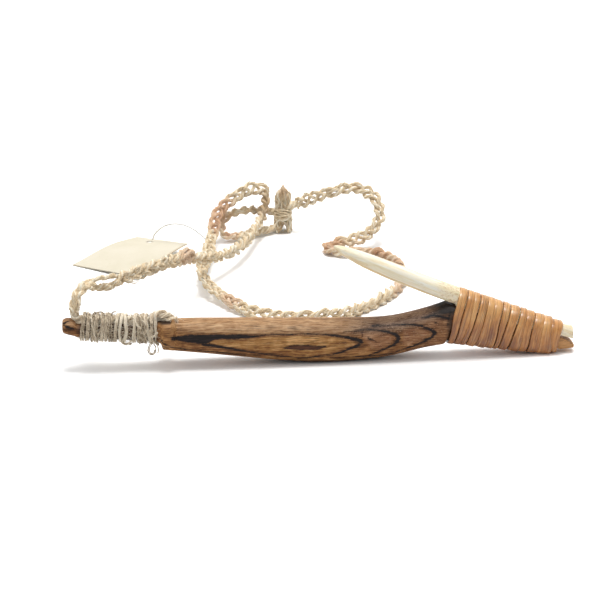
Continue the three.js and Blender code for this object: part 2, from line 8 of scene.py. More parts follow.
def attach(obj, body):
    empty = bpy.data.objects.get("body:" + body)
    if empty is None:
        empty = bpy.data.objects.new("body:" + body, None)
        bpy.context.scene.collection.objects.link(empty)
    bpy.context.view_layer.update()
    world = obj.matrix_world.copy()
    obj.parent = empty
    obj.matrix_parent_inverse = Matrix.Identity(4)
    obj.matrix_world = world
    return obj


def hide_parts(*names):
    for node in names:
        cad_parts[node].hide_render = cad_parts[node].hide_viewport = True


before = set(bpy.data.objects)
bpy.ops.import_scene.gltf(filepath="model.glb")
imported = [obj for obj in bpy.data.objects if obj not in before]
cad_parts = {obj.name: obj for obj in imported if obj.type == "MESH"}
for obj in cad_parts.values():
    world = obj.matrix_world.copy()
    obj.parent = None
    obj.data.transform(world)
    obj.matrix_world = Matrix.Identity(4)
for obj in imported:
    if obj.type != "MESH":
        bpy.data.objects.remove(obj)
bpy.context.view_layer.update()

rng = np.random.default_rng(1907)

# Lengths below are in millimetres, in the frame of the part, except the lamps'
MM = 0.001
UP = np.array([0.0, 0.0, 1.0])
TURN = 2 * math.pi

# Camera: the photograph's low three-quarter view across the hook
CAMERA_PLACE = (-61.7, -591.8, 262.8)
CAMERA_DOWN = math.radians(22.0)
CAMERA_TURN = math.radians(5.2)
CAMERA_LENS = 110.48
SENSOR_WIDTH = 36
CLIP_END = 20000


def make_camera():
    data = bpy.data.cameras.new("camera")
    data.lens = CAMERA_LENS
    data.sensor_width = SENSOR_WIDTH
    data.clip_end = CLIP_END * MM
    camera = bpy.data.objects.new("camera", data)
    camera.location = Vector(CAMERA_PLACE) * MM
    camera.rotation_euler = (math.pi / 2 - CAMERA_DOWN, 0, -CAMERA_TURN)
    bpy.context.scene.collection.objects.link(camera)
    bpy.context.scene.camera = camera


make_camera()

# Routes of the free cords: the snood from the head to the knot, its tail, and the string from the tag
# to the snood. A period is the length over which a plait repeats
SNOOD_DIAMETER = 4.2
SNOOD_PERIOD = 14.7
SNOOD_ROUTE = [
    (-85.9, 0, 21.6), (-85.6, 0.6, 24.8), (-84, 3, 27.8), (-80.5, 6.5, 28.6), (-74.5, 12, 27),
    (-66.6, 21, 25.9), (-55, 37, 23.9), (-45.5, 54, 19), (-33.5, 79, 9.9), (-25.5, 91.5, 8),
    (-19.6, 105, 7.2), (-15.6, 117.5, 7.2), (-12, 127.5, 9.2), (-10.2, 133.5, 13), (-10.4, 136, 17),
    (-14.5, 135.2, 18.9), (-23.5, 130, 16.6), (-30.5, 122.5, 12.6), (-33.4, 109, 8.6), (-36, 93, 6.9),
    (-39.2, 76.5, 5.6), (-37, 63, 4.6), (-30, 50.4, 3.2), (-19.3, 37.4, 2.3), (-3.8, 33.9, 2.2),
    (12.9, 36.6, 2.2), (28, 49.2, 2.2), (37.5, 65, 2.2), (39.5, 80.5, 2.5), (33.5, 95, 3.1),
    (24.5, 100.2, 2.5), (16.4, 101.6, 2.4), (12.6, 105.6, 2.5), (17.2, 109.6, 3), (28, 109.2, 5.4),
    (34.8, 113.6, 11), (34.2, 121.2, 17.4), (27, 127.4, 20.2), (15, 130, 17.4), (2.7, 132, 12.6),
]
TAIL_DIAMETER = 3.6
TAIL_PERIOD = 12.5
TAIL_ROUTE = [
    (-7.4, 131, 2.2), (-12.5, 128.3, 2.2), (-18, 125.8, 2.2), (-24, 123, 2.2), (-28.3, 122.4, 3.4),
    (-29, 125.5, 6.5), (-26, 129.5, 9.2), (-21, 132.2, 10), (-16, 134.6, 9.5), (-11.5, 136.6, 8.4),
    (-6.7, 135.4, 8),
]
STRING_ROUTE = [
    (-57.6, 118.7, 3.4), (-56.6, 118.4, 6), (-52.6, 115.8, 10.2), (-47, 111, 12.6),
    (-41.6, 105.4, 12.4), (-36.5, 100.4, 9.7),
]


# Small vector helpers

# How strongly the normals of a path are drawn upright, at each step
UPRIGHT_PULL = 0.06


def unit(vectors):
    size = np.linalg.norm(vectors, axis=-1, keepdims=True)
    return vectors / np.maximum(size, 1e-9)


def step(value, low, high):
    """A smooth step from 0 at low to 1 at high."""
    t = np.clip((np.asarray(value, float) - low) / (high - low), 0, 1)
    return t * t * (3 - 2 * t)


def band(value, start, full, fading, end):
    """A smooth rise from start to full and a fall from fading to end."""
    return step(value, start, full) * (1 - step(value, fading, end))


def run_of(path):
    """Distance along a path at each of its points."""
    steps = np.linalg.norm(np.diff(path, axis=0), axis=1)
    return np.concatenate([[0], np.cumsum(steps)])


def sampled(field, run, places):
    return np.stack([np.interp(places, run, field[:, axis]) for axis in range(3)], axis=1)


def evenly(path, spacing):
    run = run_of(path)
    return sampled(path, run, np.linspace(0, run[-1], max(3, round(run[-1] / spacing) + 1)))


def hermite(t, start, end, leaving, arriving):
    """The curve from start to end that leaves and arrives with the given slopes."""
    return (
        (2 * t**3 - 3 * t**2 + 1) * start + (t**3 - 2 * t**2 + t) * leaving
        + (3 * t**2 - 2 * t**3) * end + (t**3 - t**2) * arriving
    )


def smooth_line(points, spacing):
    """Even points on the centripetal Catmull-Rom line through the points of a route."""
    points = np.array(points, float)
    held = np.vstack([2 * points[0] - points[1], points, 2 * points[-1] - points[-2]])
    t = np.linspace(0, 1, 40, endpoint=False)[:, None]
    pieces = []
    for a, b, c, d in zip(held, held[1:], held[2:], held[3:]):
        ab, bc, cd = (max(np.linalg.norm(q - p), 1e-6) ** 0.5 for p, q in ((a, b), (b, c), (c, d)))
        leaving = ((b - a) / ab - (c - a) / (ab + bc) + (c - b) / bc) * bc
        arriving = ((c - b) / bc - (d - b) / (bc + cd) + (d - c) / cd) * bc
        pieces.append(hermite(t, b, c, leaving, arriving))
    return evenly(np.vstack(pieces + [points[-1:]]), spacing)


def value_at(stations, at):
    """A value on the smooth curve through stations, pairs of a place and a value."""
    places, values = np.array(stations, float).T
    ends = np.diff(values) / np.diff(places)
    inner = (values[2:] - values[:-2]) / (places[2:] - places[:-2])
    slopes = np.concatenate([ends[:1], inner, ends[-1:]])
    i = np.clip(np.searchsorted(places, at) - 1, 0, len(places) - 2)
    gap = places[i + 1] - places[i]
    t = np.clip((at - places[i]) / gap, 0, 1)
    return hermite(t, values[i], values[i + 1], gap * slopes[i], gap * slopes[i + 1])


def wander(run, length, amount, shape=()):
    """A slow random wave along a run, one for each item of the shape."""
    run = np.asarray(run, float)
    total = np.zeros(shape + run.shape)
    for harmonic in (1.0, 1.9, 3.3):
        phase = rng.uniform(0, TURN, shape)[..., None]
        pace = rng.uniform(0.8, 1.2, shape)[..., None] * harmonic * TURN / length
        total += np.sin(pace * run + phase) / harmonic
    return amount * total / 1.5


def side_frames(path, up=UP):
    """Tangents, and normals that turn as little as they can while they lean towards up."""
    tangents = unit(np.gradient(path, axis=0))
    normals = np.empty_like(tangents)
    normal = up - tangents[0] * (up @ tangents[0])
    if np.linalg.norm(normal) < 0.2:
        normal = np.array([-1.0, 0, 0]) + tangents[0] * tangents[0][0]
    for i, tangent in enumerate(tangents):
        lean = up - tangent * (up @ tangent)
        normal = normal - tangent * (normal @ tangent) + UPRIGHT_PULL * lean
        normal /= np.linalg.norm(normal)
        normals[i] = normal
    return tangents, normals, np.cross(tangents, normals)


def offset_line(middle, reach, angle, sides, normals):
    """A line at a reach from another, at an angle from its sides towards its normals."""
    aside, up = reach * np.cos(angle), reach * np.sin(angle)
    return middle + aside[..., None] * sides + up[..., None] * normals


def ring_reach(angle, half_width, half_height, roundness):
    """How far the outline of a rounded oblong lies from its middle."""
    side = np.abs(np.cos(angle) / half_width) ** roundness
    top = np.abs(np.sin(angle) / half_height) ** roundness
    return (side + top) ** (-1 / roundness)


def eased(values, reach):
    """Values in a row, each blended with its neighbours up to reach away."""
    weights = np.hanning(2 * reach + 1)
    return np.convolve(np.pad(values, reach, mode="edge"), weights / weights.sum(), mode="valid")


# Meshes
def placed(name, mesh, material, node):
    """A piece that rides on the hook in place of a node."""
    piece = bpy.data.objects.new(name, mesh)
    mesh.materials.clear()
    mesh.materials.append(material)
    bpy.context.scene.collection.objects.link(piece)
    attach(piece, "root")
    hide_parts(node)
    return piece


def set_attributes(mesh, **fields):
    for name, values in fields.items():
        mesh.attributes.new(name, "FLOAT", "POINT").data.foreach_set("value", np.asarray(values, float))


class Shape:
    """A mesh under way: points in millimetres, faces, and for each point a UV and a tint."""

    def __init__(self):
        self.points, self.corners, self.sizes, self.uvs, self.tints = [], [], [], [], []
        self.count = 0

    def sweep(self, paths, normals, sides, section, width, height, tint, floor):
        """Closed tubes: paths is tubes by steps by three, section a closed outline of unit size."""
        tubes, steps = paths.shape[:2]
        around = len(section)
        width, height = (np.broadcast_to(size, (tubes, steps))[..., None, None] for size in (width, height))
        rings = (
            paths[:, :, None]
            + width * section[:, :1] * sides[:, :, None]
            + height * section[:, 1:] * normals[:, :, None]
        )
        if floor is not None:
            rings[..., 2] = np.maximum(rings[..., 2], floor)
        index = self.count + np.arange(tubes * steps * around).reshape(tubes, steps, around)
        after = np.roll(index, -1, axis=2)
        quads = np.stack([index[:, :-1], after[:, :-1], after[:, 1:], index[:, 1:]], axis=-1)
        u = np.zeros((tubes, steps, 1))
        u[:, 1:, 0] = np.cumsum(np.linalg.norm(np.diff(paths, axis=1), axis=2), axis=1)
        v = np.arange(around) / around
        w = v + 1 / around
        pairs = ((u[:, :-1], v), (u[:, :-1], w), (u[:, 1:], w), (u[:, 1:], v))
        quad_uv = np.stack([np.stack(np.broadcast_arrays(*pair), -1) for pair in pairs], axis=-2)
        ends = np.concatenate([index[:, 0, ::-1], index[:, -1]])
        self.points.append(rings.reshape(-1, 3))
        self.corners += [quads.reshape(-1), ends.reshape(-1)]
        self.sizes += [np.full(quads.size // 4, 4), np.full(len(ends), around)]
        self.uvs += [quad_uv.reshape(-1, 2), np.zeros((ends.size, 2))]
        tint = np.asarray(tint, float)
        tint = tint[..., None] if tint.ndim == 2 else tint.reshape(-1, 1, 1)
        self.tints.append(np.broadcast_to(tint, (tubes, steps, around)).reshape(-1))
        self.count += tubes * steps * around

    def tubes(self, paths, radius, around, tint, floor=None, tip=1.0):
        """Round tubes along many paths of as many points each, that thin out to the share tip."""
        tangents = unit(np.gradient(paths, axis=1))
        across = np.where(np.abs(tangents[:, 0, 2:]) < 0.8, UP, np.array([1.0, 0, 0]))
        normal = unit(np.cross(np.cross(tangents[:, 0], across), tangents[:, 0]))
        normals = np.empty_like(tangents)
        for i in range(paths.shape[1]):
            tangent = tangents[:, i]
            normal = unit(normal - tangent * np.sum(normal * tangent, axis=1, keepdims=True))
            normals[:, i] = normal
        angles = TURN * np.arange(around) / around
        circle = np.stack([np.cos(angles), np.sin(angles)], axis=1)
        radius = radius * np.linspace(1, tip, paths.shape[1])
        self.sweep(paths, normals, np.cross(tangents, normals), circle, radius, radius, tint, floor)

    def finish(self, name, material, node):
        corners = np.concatenate(self.corners)
        sizes = np.concatenate(self.sizes)
        mesh = bpy.data.meshes.new(name)
        mesh.vertices.add(self.count)
        mesh.vertices.foreach_set("co", np.concatenate(self.points).ravel() * MM)
        mesh.loops.add(len(corners))
        mesh.loops.foreach_set("vertex_index", corners)
        mesh.polygons.add(len(sizes))
        mesh.polygons.foreach_set("loop_start", np.concatenate([[0], np.cumsum(sizes)[:-1]]))
        mesh.update(calc_edges=True)
        mesh.polygons.foreach_set("use_smooth", np.full(len(sizes), True))
        mesh.uv_layers.new(name="strand").data.foreach_set("uv", np.concatenate(self.uvs).ravel())
        set_attributes(mesh, tint=np.concatenate(self.tints))
        mesh.validate()
        return placed(name, mesh, material, node)


def evaluated(mesh, name, *modifiers):
    """A mesh after some modifiers, each given as its kind and settings."""
    work = bpy.data.objects.new(name + "_work", mesh)
    bpy.context.scene.collection.objects.link(work)
    for kind, settings in modifiers:
        modifier = work.modifiers.new(kind, kind)
        for key, value in settings.items():
            setattr(modifier, key, value)
    made = bpy.data.meshes.new_from_object(work.evaluated_get(bpy.context.evaluated_depsgraph_get()))
    made.name = name
    bpy.data.objects.remove(work)
    return made


def fine_copy(node, name, voxel, rounds):
    """A new mesh of a node's shape with even small faces, its edges eased by some rounds."""
    remesh = {"mode": "VOXEL", "voxel_size": voxel * MM}
    ease = {"factor": 0.5, "iterations": rounds}
    mesh = evaluated(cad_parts[node].data.copy(), name, ("REMESH", remesh), ("SMOOTH", ease))
    for attribute in list(mesh.attributes):
        if not attribute.is_internal and not attribute.is_required:
            mesh.attributes.remove(attribute)
    mesh.polygons.foreach_set("use_smooth", np.full(len(mesh.polygons), True))
    return mesh


def points_and_normals(mesh):
    """The points of a mesh, in millimetres, and its normals there."""
    points, normals = np.empty((2, len(mesh.vertices) * 3))
    mesh.vertices.foreach_get("co", points)
    mesh.vertex_normals.foreach_get("vector", normals)
    return points.reshape(-1, 3) / MM, normals.reshape(-1, 3)


def move_points(mesh, points):
    mesh.vertices.foreach_set("co", (points * MM).ravel())
    mesh.update()


def rough_field(points, scale, seed):
    """Smooth noise from -1 to 1 at points, with a size in millimetres for each axis."""
    size = np.array(scale, float)
    return np.array([noise.noise(Vector(p / size) + Vector((seed, 0, 0))) for p in points])


# Materials
def linear(red, green, blue):
    """A colour as seen, 0 to 255, in the linear values that shaders take."""
    channels = [c / 255 for c in (red, green, blue)]
    return [c / 12.92 if c <= 0.04045 else ((c + 0.055) / 1.055) ** 2.4 for c in channels] + [1.0]


class Nodes:
    """A node tree under way. Each input takes a value or another node's socket."""

    def __init__(self, tree):
        self.tree = tree

    def put(self, socket, value):
        if isinstance(value, bpy.types.NodeSocket):
            self.tree.links.new(value, socket)
        else:
            socket.default_value = value

    def add(self, kind, inputs, output=0, **settings):
        made = self.tree.nodes.new("ShaderNode" + kind)
        for name, value in settings.items():
            setattr(made, name, value)
        for key, value in inputs.items():
            self.put(made.inputs[key], value)
        return made.outputs[output]

    def between(self, value, low, high, start=0.0, end=1.0):
        inputs = {"Value": value, "From Min": low, "From Max": high, "To Min": start, "To Max": end}
        return self.add("MapRange", inputs, clamp=True)

    def maths(self, operation, first, second):
        return self.add("Math", {0: first, 1: second}, operation=operation)

    def times(self, first, second):
        return self.maths("MULTIPLY", first, second)

    def seen(self):
        """1 for rays that meet floor and backdrop as plain white, 0 for those that meet them as light."""
        total = 0.0
        for kind in ("Is Camera Ray", "Is Glossy Ray", "Is Transmission Ray"):
            total = self.maths("MAXIMUM", total, self.add("LightPath", {}, kind))
        return total


class Shader(Nodes):
    """A surface material under way."""

    def __init__(self, name, roughness, specular):
        self.material = bpy.data.materials.new(name)
        self.material.use_nodes = True
        super().__init__(self.material.node_tree)
        self.surface = self.tree.nodes["Principled BSDF"]
        self.set({"Roughness": roughness, "Specular IOR Level": specular})

    def set(self, values):
        for name, value in values.items():
            self.surface.inputs[name].default_value = value

    def place(self):
        return self.add("TexCoord", {}, "Object")

    def strand(self):
        return self.add("UVMap", {}, uv_map="strand")

    def value(self, name):
        return self.add("Attribute", {}, "Fac", attribute_name=name)

    def noise(self, vector, scale, detail=3.0, rough=0.55, warp=0.0):
        inputs = {"Vector": vector, "Scale": scale, "Detail": detail, "Roughness": rough, "Distortion": warp}
        return self.add("TexNoise", inputs)

    def grain(self, vector, scale, detail, rough=0.55, warp=0.0):
        """Noise with a scale of its own along each axis."""
        stretched = self.add("Mapping", {"Vector": vector, "Scale": scale})
        return self.noise(stretched, 1.0, detail, rough, warp)

    def ramp(self, factor, stops):
        made = self.tree.nodes.new("ShaderNodeValToRGB")
        self.put(made.inputs[0], factor)
        elements = made.color_ramp.elements
        while len(elements) < len(stops):
            elements.new(0.5)
        for element, (place, color) in zip(elements, stops):
            element.position = place
            element.color = linear(*color)
        return made.outputs[0]

    def mix(self, factor, first, second):
        """A blend of two colours, each a socket, a list of linear values or a tuple as seen."""
        first, second = (linear(*tone) if isinstance(tone, tuple) else tone for tone in (first, second))
        return self.add("Mix", {0: factor, 6: first, 7: second}, 2, data_type="RGBA")

    def layered(self, tone, *layers):
        """A tone with layers over it, each given as its share and its colour."""
        for share, color in layers:
            tone = self.mix(share, tone, color)
        return tone

    def weighted(self, *parts):
        """The sum of values, each given with its weight."""
        total = 0.0
        for value, weight in parts:
            total = self.maths("ADD", self.times(value, weight), total)
        return total

    def bump(self, height, distance):
        """Adds relief, distance in millimetres, over the relief that the surface already has."""
        inputs = {"Strength": 1.0, "Distance": distance * MM, "Height": height}
        normal = self.surface.inputs["Normal"]
        if normal.is_linked:
            inputs["Normal"] = normal.links[0].from_socket
        self.put(normal, self.add("Bump", inputs))

    def color(self, value):
        self.put(self.surface.inputs["Base Color"], value)


# Shank: the carved wood, with its dark figure drawn as strokes
SHOULDER_X = -55.9

STROKE_WEIGHT = 0.88
# Strokes of the figure on the front: X, Z and half width at each point
FIGURE = [
    [
        (-52.7, 12.1, 0.3), (-51, 12.1, 0.8), (-48.9, 11.8, 1.3), (-45.8, 11.6, 1.7), (-43.1, 11.4, 1.8),
        (-40.7, 11.5, 1.7), (-38.2, 12.1, 1.05), (-35.5, 12.1, 0.9), (-32, 12, 0.8), (-28.5, 11.9, 0.7),
        (-25.1, 11.9, 0.45), (-21.6, 12.2, 0.2), (-18.1, 12.3, 0.06), (-13.9, 12.2, 0.04), (-9, 12.1, 0.06),
        (-4.1, 12, 0.1), (0.7, 11.6, 0.16), (4.9, 11, 0.26), (8.1, 10.4, 0.35), (10.5, 9.7, 0.55),
        (12.6, 9, 0.75), (13.2, 8.4, 0.7),
    ],
    [
        (-42.1, 9.5, 0.5), (-39, 9, 0.6), (-35.5, 8.3, 0.5), (-32.1, 7.5, 0.4), (-28.2, 6.5, 0.3),
        (-24.1, 5.6, 0.24), (-19.5, 4.7, 0.2), (-14.6, 3.9, 0.2), (-10.1, 3.2, 0.22), (-5.9, 2.8, 0.24),
        (-1.3, 3.6, 0.24), (2.9, 3.9, 0.27), (5.7, 4.7, 0.36), (8.1, 5.7, 0.45), (10.6, 6.7, 0.5),
        (12.3, 7.5, 0.6),
    ],
    [
        (-14.3, 7.1, 0.15), (-12.9, 7.3, 0.5), (-10.8, 7.4, 0.9), (-8.4, 7.3, 1.05), (-5.6, 7.1, 1),
        (-2.8, 7, 0.8), (-0.7, 7.1, 0.5), (0.7, 7.4, 0.15),
    ],
    [
        (7.1, 12.3, 0.1), (9.9, 12.5, 0.15), (13.1, 12.6, 0.2), (16.2, 12.6, 0.22), (19.4, 12.3, 0.27),
        (21.8, 11.8, 0.36), (23.9, 11.2, 0.5), (25.5, 10.4, 0.62), (26.3, 9.3, 0.72), (25.9, 8.1, 0.6),
        (24.5, 6.8, 0.5), (22.6, 5.9, 0.4), (20.5, 4.9, 0.35), (18.4, 4, 0.25), (16, 2.9, 0.15),
    ],
    [
        (17, 13.7, 0.08), (21.3, 13.8, 0.12), (25.1, 13.8, 0.16), (28.6, 13.9, 0.2), (31.4, 13.8, 0.25),
        (34.2, 13.3, 0.34), (36.7, 12.3, 0.46), (38.5, 11.3, 0.56), (39.2, 10.5, 0.62), (38.2, 9.1, 0.52),
        (36.8, 8.1, 0.48), (34.4, 6.8, 0.38), (31.6, 5.8, 0.3), (28.7, 4.9, 0.22), (25.6, 3.8, 0.15),
    ],
    [(34.6, 16, 0.15), (37.1, 16.4, 0.35), (39.5, 16.7, 0.4), (41.6, 16.2, 0.35), (44, 15.7, 0.3)],
    [(-50, 8, 0.12), (-43.1, 6.8, 0.15), (-35.5, 5.6, 0.15), (-27.5, 4.5, 0.12)],
    [(-53.5, 8.7, 0.12), (-48.3, 7.3, 0.1)],
    [(-57.4, 11.6, 0.1), (-56.4, 11.5, 0.22), (-55.2, 10.3, 0.28), (-53.4, 9.2, 0.14)],
    [(-57.0, 9.9, 0.1), (-55.6, 8.9, 0.2), (-54.2, 8.2, 0.12)],
    [(2.2, 2.4, 0.12), (9.3, 2.8, 0.14), (16.4, 2.6, 0.14), (25.3, 3.1, 0.12)],
    [(15.6, 9.8, 0.32), (16.5, 9.3, 0.32), (18.3, 8.4, 0.12)],
    [(39.2, 14.3, 0.26), (39.6, 14.2, 0.2)],
    [(13.4, 11.6, 0.12), (13.5, 10.4, 0.12)],
    [(-89.6, 17.3, 0.2), (-87.5, 18.1, 0.26), (-85.8, 18.8, 0.24), (-84.3, 19.1, 0.2)],
    [(-89.2, 16.7, 0.2), (-88.4, 16.5, 0.42), (-87.4, 16.2, 0.36), (-86.2, 15.9, 0.1)],
    [(43.6, 13.2, 0.12), (43.9, 15.6, 0.16), (44.6, 18.0, 0.12)],
]

# Hearts of the figure, golden inside the long lens, redder in the two short ones
LONG_HEART = [
    (-42, 11), (-38, 11), (-30, 11.2), (-20, 11.8), (-8, 11.8), (2, 11.2), (8, 9.8), (11.5, 8.4),
    (8, 6.3), (2, 4.4), (-6, 3.4), (-14, 4.3), (-24, 6), (-32, 7.9), (-39, 9.4),
]
SHORT_HEARTS = [
    [(12, 12), (18, 12), (23, 10.8), (25.2, 9.4), (23, 6.8), (19, 4.8), (16.5, 6), (14.2, 8.6)],
    [(27, 13), (33, 13), (38, 10.6), (35, 7.8), (30, 5.6), (27.4, 7), (27.6, 10.4)],
]

# Tones of the wood along its grain, of the body and of the parts that differ from it
BODY_TONES = [(0.40, (70, 44, 25)), (0.47, (120, 79, 46)), (0.53, (152, 106, 64)), (0.61, (204, 150, 100))]
PART_TONES = {
    # upward faces: the top's grain in lighter tones, which paint in light from above
    "upper": [
        (0.38, (112, 76, 46)), (0.45, (160, 118, 78)), (0.53, (188, 148, 106)), (0.61, (212, 176, 136)),
    ],
    "heart": [
        (0.40, (108, 68, 36)), (0.46, (154, 106, 60)), (0.53, (184, 136, 82)), (0.61, (222, 174, 118)),
    ],
    "red_heart": [
        (0.40, (102, 64, 42)), (0.46, (144, 98, 66)), (0.53, (170, 124, 88)), (0.61, (216, 172, 134)),
    ],
    "grey": [(0.40, (76, 56, 44)), (0.5, (124, 98, 80)), (0.61, (168, 138, 116))],
}
# What the raggedness of the figure's edge comes to on average, in millimetres
RAGGED_MIDDLE = 1.15
# Size of the new faces, and rounds that ease their edges
WOOD_GRID = 0.36
WOOD_EASING = 6
# What is added to the notch at the shoulder, to its width on each side and to its front lip's height
NOTCH_WIDENING = 1.7
NOTCH_LIP = 2.3


def near_segment(x, z, a, b):
    """How far along the segment from a to b each point lies, as a share, and how far from it."""
    dx, dz = b[0] - a[0], b[1] - a[1]
    t = np.clip(((x - a[0]) * dx + (z - a[1]) * dz) / (dx * dx + dz * dz), 0, 1)
    return t, np.hypot(x - a[0] - t * dx, z - a[1] - t * dz)


def stroke_distance(x, z, stroke):
    """Distance in millimetres from each point to a stroke's edge, negative inside it."""
    gaps = []
    for a, b in zip(stroke, stroke[1:]):
        t, gap = near_segment(x, z, a, b)
        gaps.append(gap - STROKE_WEIGHT * (a[2] + t * (b[2] - a[2])))
    return np.min(gaps, axis=0)


def inside_depth(x, z, outline):
    """How deep each point lies inside an outline, in millimetres, negative outside."""
    inside = np.zeros(len(x), bool)
    gaps = []
    for a, b in zip(outline, outline[1:] + outline[:1]):
        gaps.append(near_segment(x, z, a, b)[1])
        if a[1] != b[1]:
            crossing = a[0] + (z - a[1]) * (b[0] - a[0]) / (b[1] - a[1])
            inside ^= ((a[1] > z) != (b[1] > z)) & (x < crossing)
    return np.where(inside, 1, -1) * np.min(gaps, axis=0)


def wood_material():
    wood = Shader("carved_wood", roughness=0.5, specular=0.14)
    place = wood.place()
    fibre = wood.grain(place, (150, 2500, 2500), 5, 0.65, 0.3)
    streak = wood.grain(place, (26, 420, 420), 3, 0.6, 0.3)
    mottle = wood.grain(place, (230, 520, 520), 4, 0.6, 0.6)
    pores = wood.grain(place, (230, 3300, 3300), 2, 0.5)
    speck = wood.grain(place, (1500, 2600, 2600), 3, 0.7)
    grain = wood.weighted((fibre, 0.45), (streak, 0.25), (mottle, 0.3))
    tone = wood.ramp(grain, BODY_TONES)
    for part, stops in PART_TONES.items():
        tone = wood.mix(wood.value(part), tone, wood.ramp(grain, stops))
    tone = wood.layered(
        tone,
        (wood.value("fresh"), (218, 164, 110)),
        (wood.between(pores, 0.56, 0.63, 0.0, 0.55), (52, 32, 20)),
        (wood.times(wood.between(speck, 0.6, 0.7), wood.value("scuffed")), (222, 186, 158)),
        # painted shade: the neck under the lashing, the notch under the tuft, and faces turned down
        (wood.value("shade"), (38, 24, 16)),
    )
    # The figure's edge follows the fibres
    ragged = wood.maths("SUBTRACT", wood.weighted((fibre, 1.5), (speck, 0.8)), RAGGED_MIDDLE)
    edge = wood.maths("ADD", wood.value("figure"), ragged)
    tone = wood.mix(wood.between(edge, 0.0, 0.5, 0.5, 0.0), tone, (70, 40, 24))
    core = wood.mix(wood.between(fibre, 0.46, 0.62), (11, 8, 10), (38, 30, 32))
    ember = wood.times(wood.between(fibre, 0.4, 0.6, 0.3, 1.0), wood.value("ember"))
    core = wood.mix(ember, core, (122, 76, 50))
    tone = wood.mix(wood.between(edge, -0.1, 0.2, 0.97, 0.0), tone, core)
    # near black where the top by the joint is blackened, and painted shade in the wedges under the bone and
    # along the bottom by the floor
    near_black_tone = wood.mix(wood.between(speck, 0.46, 0.76), (4, 3, 3), (40, 35, 35))
    wood.color(wood.mix(wood.value("char"), tone, near_black_tone))
    for height, distance in ((fibre, 0.12), (pores, 0.10), (speck, 0.04)):
        wood.bump(height, distance)
    return wood.material


def make_shank():
    mesh = fine_copy("shank", "carved_shank", WOOD_GRID, WOOD_EASING)
    points, normals = points_and_normals(mesh)
    x, y, z = points.T
    up = normals[:, 2]
    facets = rough_field(points, (9, 4, 4), 3) * 0.10 + rough_field(points, (26, 9, 9), 8) * 0.14
    grooves = rough_field(points, (18, 0.9, 0.9), 5) * 0.035
    relief = facets * step(x, SHOULDER_X + 1, SHOULDER_X + 4) + grooves
    points = points + normals * relief[:, None]
    head = step(-x, 84.5, 89)
    points[:, 0] -= 0.45 * head
    points[:, 2] += head * (0.5 + 0.45 * step(-z, -14.8, -13))
    points[:, 2] -= 0.6 * step(x, 83, 85.5) * step(-z, -4.6, -2.6)
    points[:, 2] = np.maximum(points[:, 2], 0.0)
    notch = band(x, -58.8, -57.2, -52.4, -51)
    points[:, 1] += NOTCH_WIDENING * notch * step(z, 8, 10.5) * np.sign(y) * step(np.abs(y), 1, 2.6)
    points[:, 2] += NOTCH_LIP * notch * step(z, 11.5, 14) * step(-y, 0.3, 1.6)
    move_points(mesh, points)
    # The far side has the front's figure, a little shorter, higher and nearer to the head
    fx = np.where((y < 0) | (x < -60), x, 1.05 * x + 5)
    fz = np.where(y < 0, z, z - 0.6 + 0.5 * np.sin(x / 11))
    facing = np.abs(normals[:, 1])
    side = step(facing, 0.25, 0.55)
    lit = step(up, 0.1, 0.55)
    figure = np.min([stroke_distance(fx, fz, stroke) for stroke in FIGURE], axis=0)
    heart = [
        step(inside_depth(fx, fz, LONG_HEART), -0.2, 0.8) * side,
        0.35 * step(-x, 46, 53) * step(x, -58.5, -57.5),
        0.5 * step(-z, -5, -3) * (1 - step(x, 10, 25)),
    ]
    red = [step(inside_depth(fx, fz, short), -0.2, 0.8) for short in SHORT_HEARTS]
    # Painted shade: dark on the neck under the lashing, on the notch under the tuft, and on faces turned
    # down
    shade = [
        0.7 * band(x, -85.5, -83.5, -58.5, -57.2),
        0.95 * band(x, -58.5, -57, -52.6, -51.6) * step(up, 0.5, 0.9) * step(y, -3.4, -2.6),
        0.15 * step(-up, 0.3, 0.9) * (1 - step(x, 80, 84)),
    ]
    # Near black: the top by the joint under the bone's root, and painted shade in the wedges under the bone
    # at the joint's left edge and at the toe, and along the bottom next to the floor
    char = [
        step(x, 34, 43) * step(z - 0.12 * (x - 40), 14.2, 17.8),
        0.7 * step(up, 0.82, 0.98) * step(x, 82.5, 84),
        0.75 * band(x, 42.6, 44.6, 46, 48),
        0.8 * step(-z, -2.4, -0.4) * (1 - step(x, 40, 50)),
    ]
    grey = lit * (0.15 * step(x, -24, 0) + 0.5 * step(x, 4, 20))
    grey = grey + 0.25 * side * step(z, 10, 14) * step(x, 8, 20)
    set_attributes(
        mesh, figure=np.clip(figure + 2.5 * step(0.45 - facing, 0, 0.35), -2, 6),
        ember=0.8 * step(-stroke_distance(fx, fz, FIGURE[2]), 0.1, 0.5), heart=np.max(heart, axis=0),
        red_heart=np.maximum(np.max(red, axis=0), 0.45 * step(x, 26, 40)) * side,
        # lighter tones on upward faces of the body and the head: the top's grain with painted light from
        # above
        upper=lit * np.maximum(band(x, -57, -50, 30, 44), 0.6 * step(-x, 84, 86)),
        grey=np.clip(grey, 0, 1), shade=np.max(shade, axis=0), char=np.clip(np.max(char, axis=0), 0, 0.95),
        fresh=0.8 * step(x, 82, 85) + 0.12 * step(-x, 49, 54) * step(x, -58, -57) * step(z, 5, 9),
        scuffed=0.15 + 0.6 * band(x, 0, 12, 38, 44) * step(z, 5, 8),
    )
    placed("carved_shank", mesh, wood_material(), "shank")


# Bone point: its slant, and the slant of its stained side
BONE_TILT = math.radians(24)
STAINED_SIDE = math.radians(26)
BONE_GRID = 0.26
BONE_EASING = 5


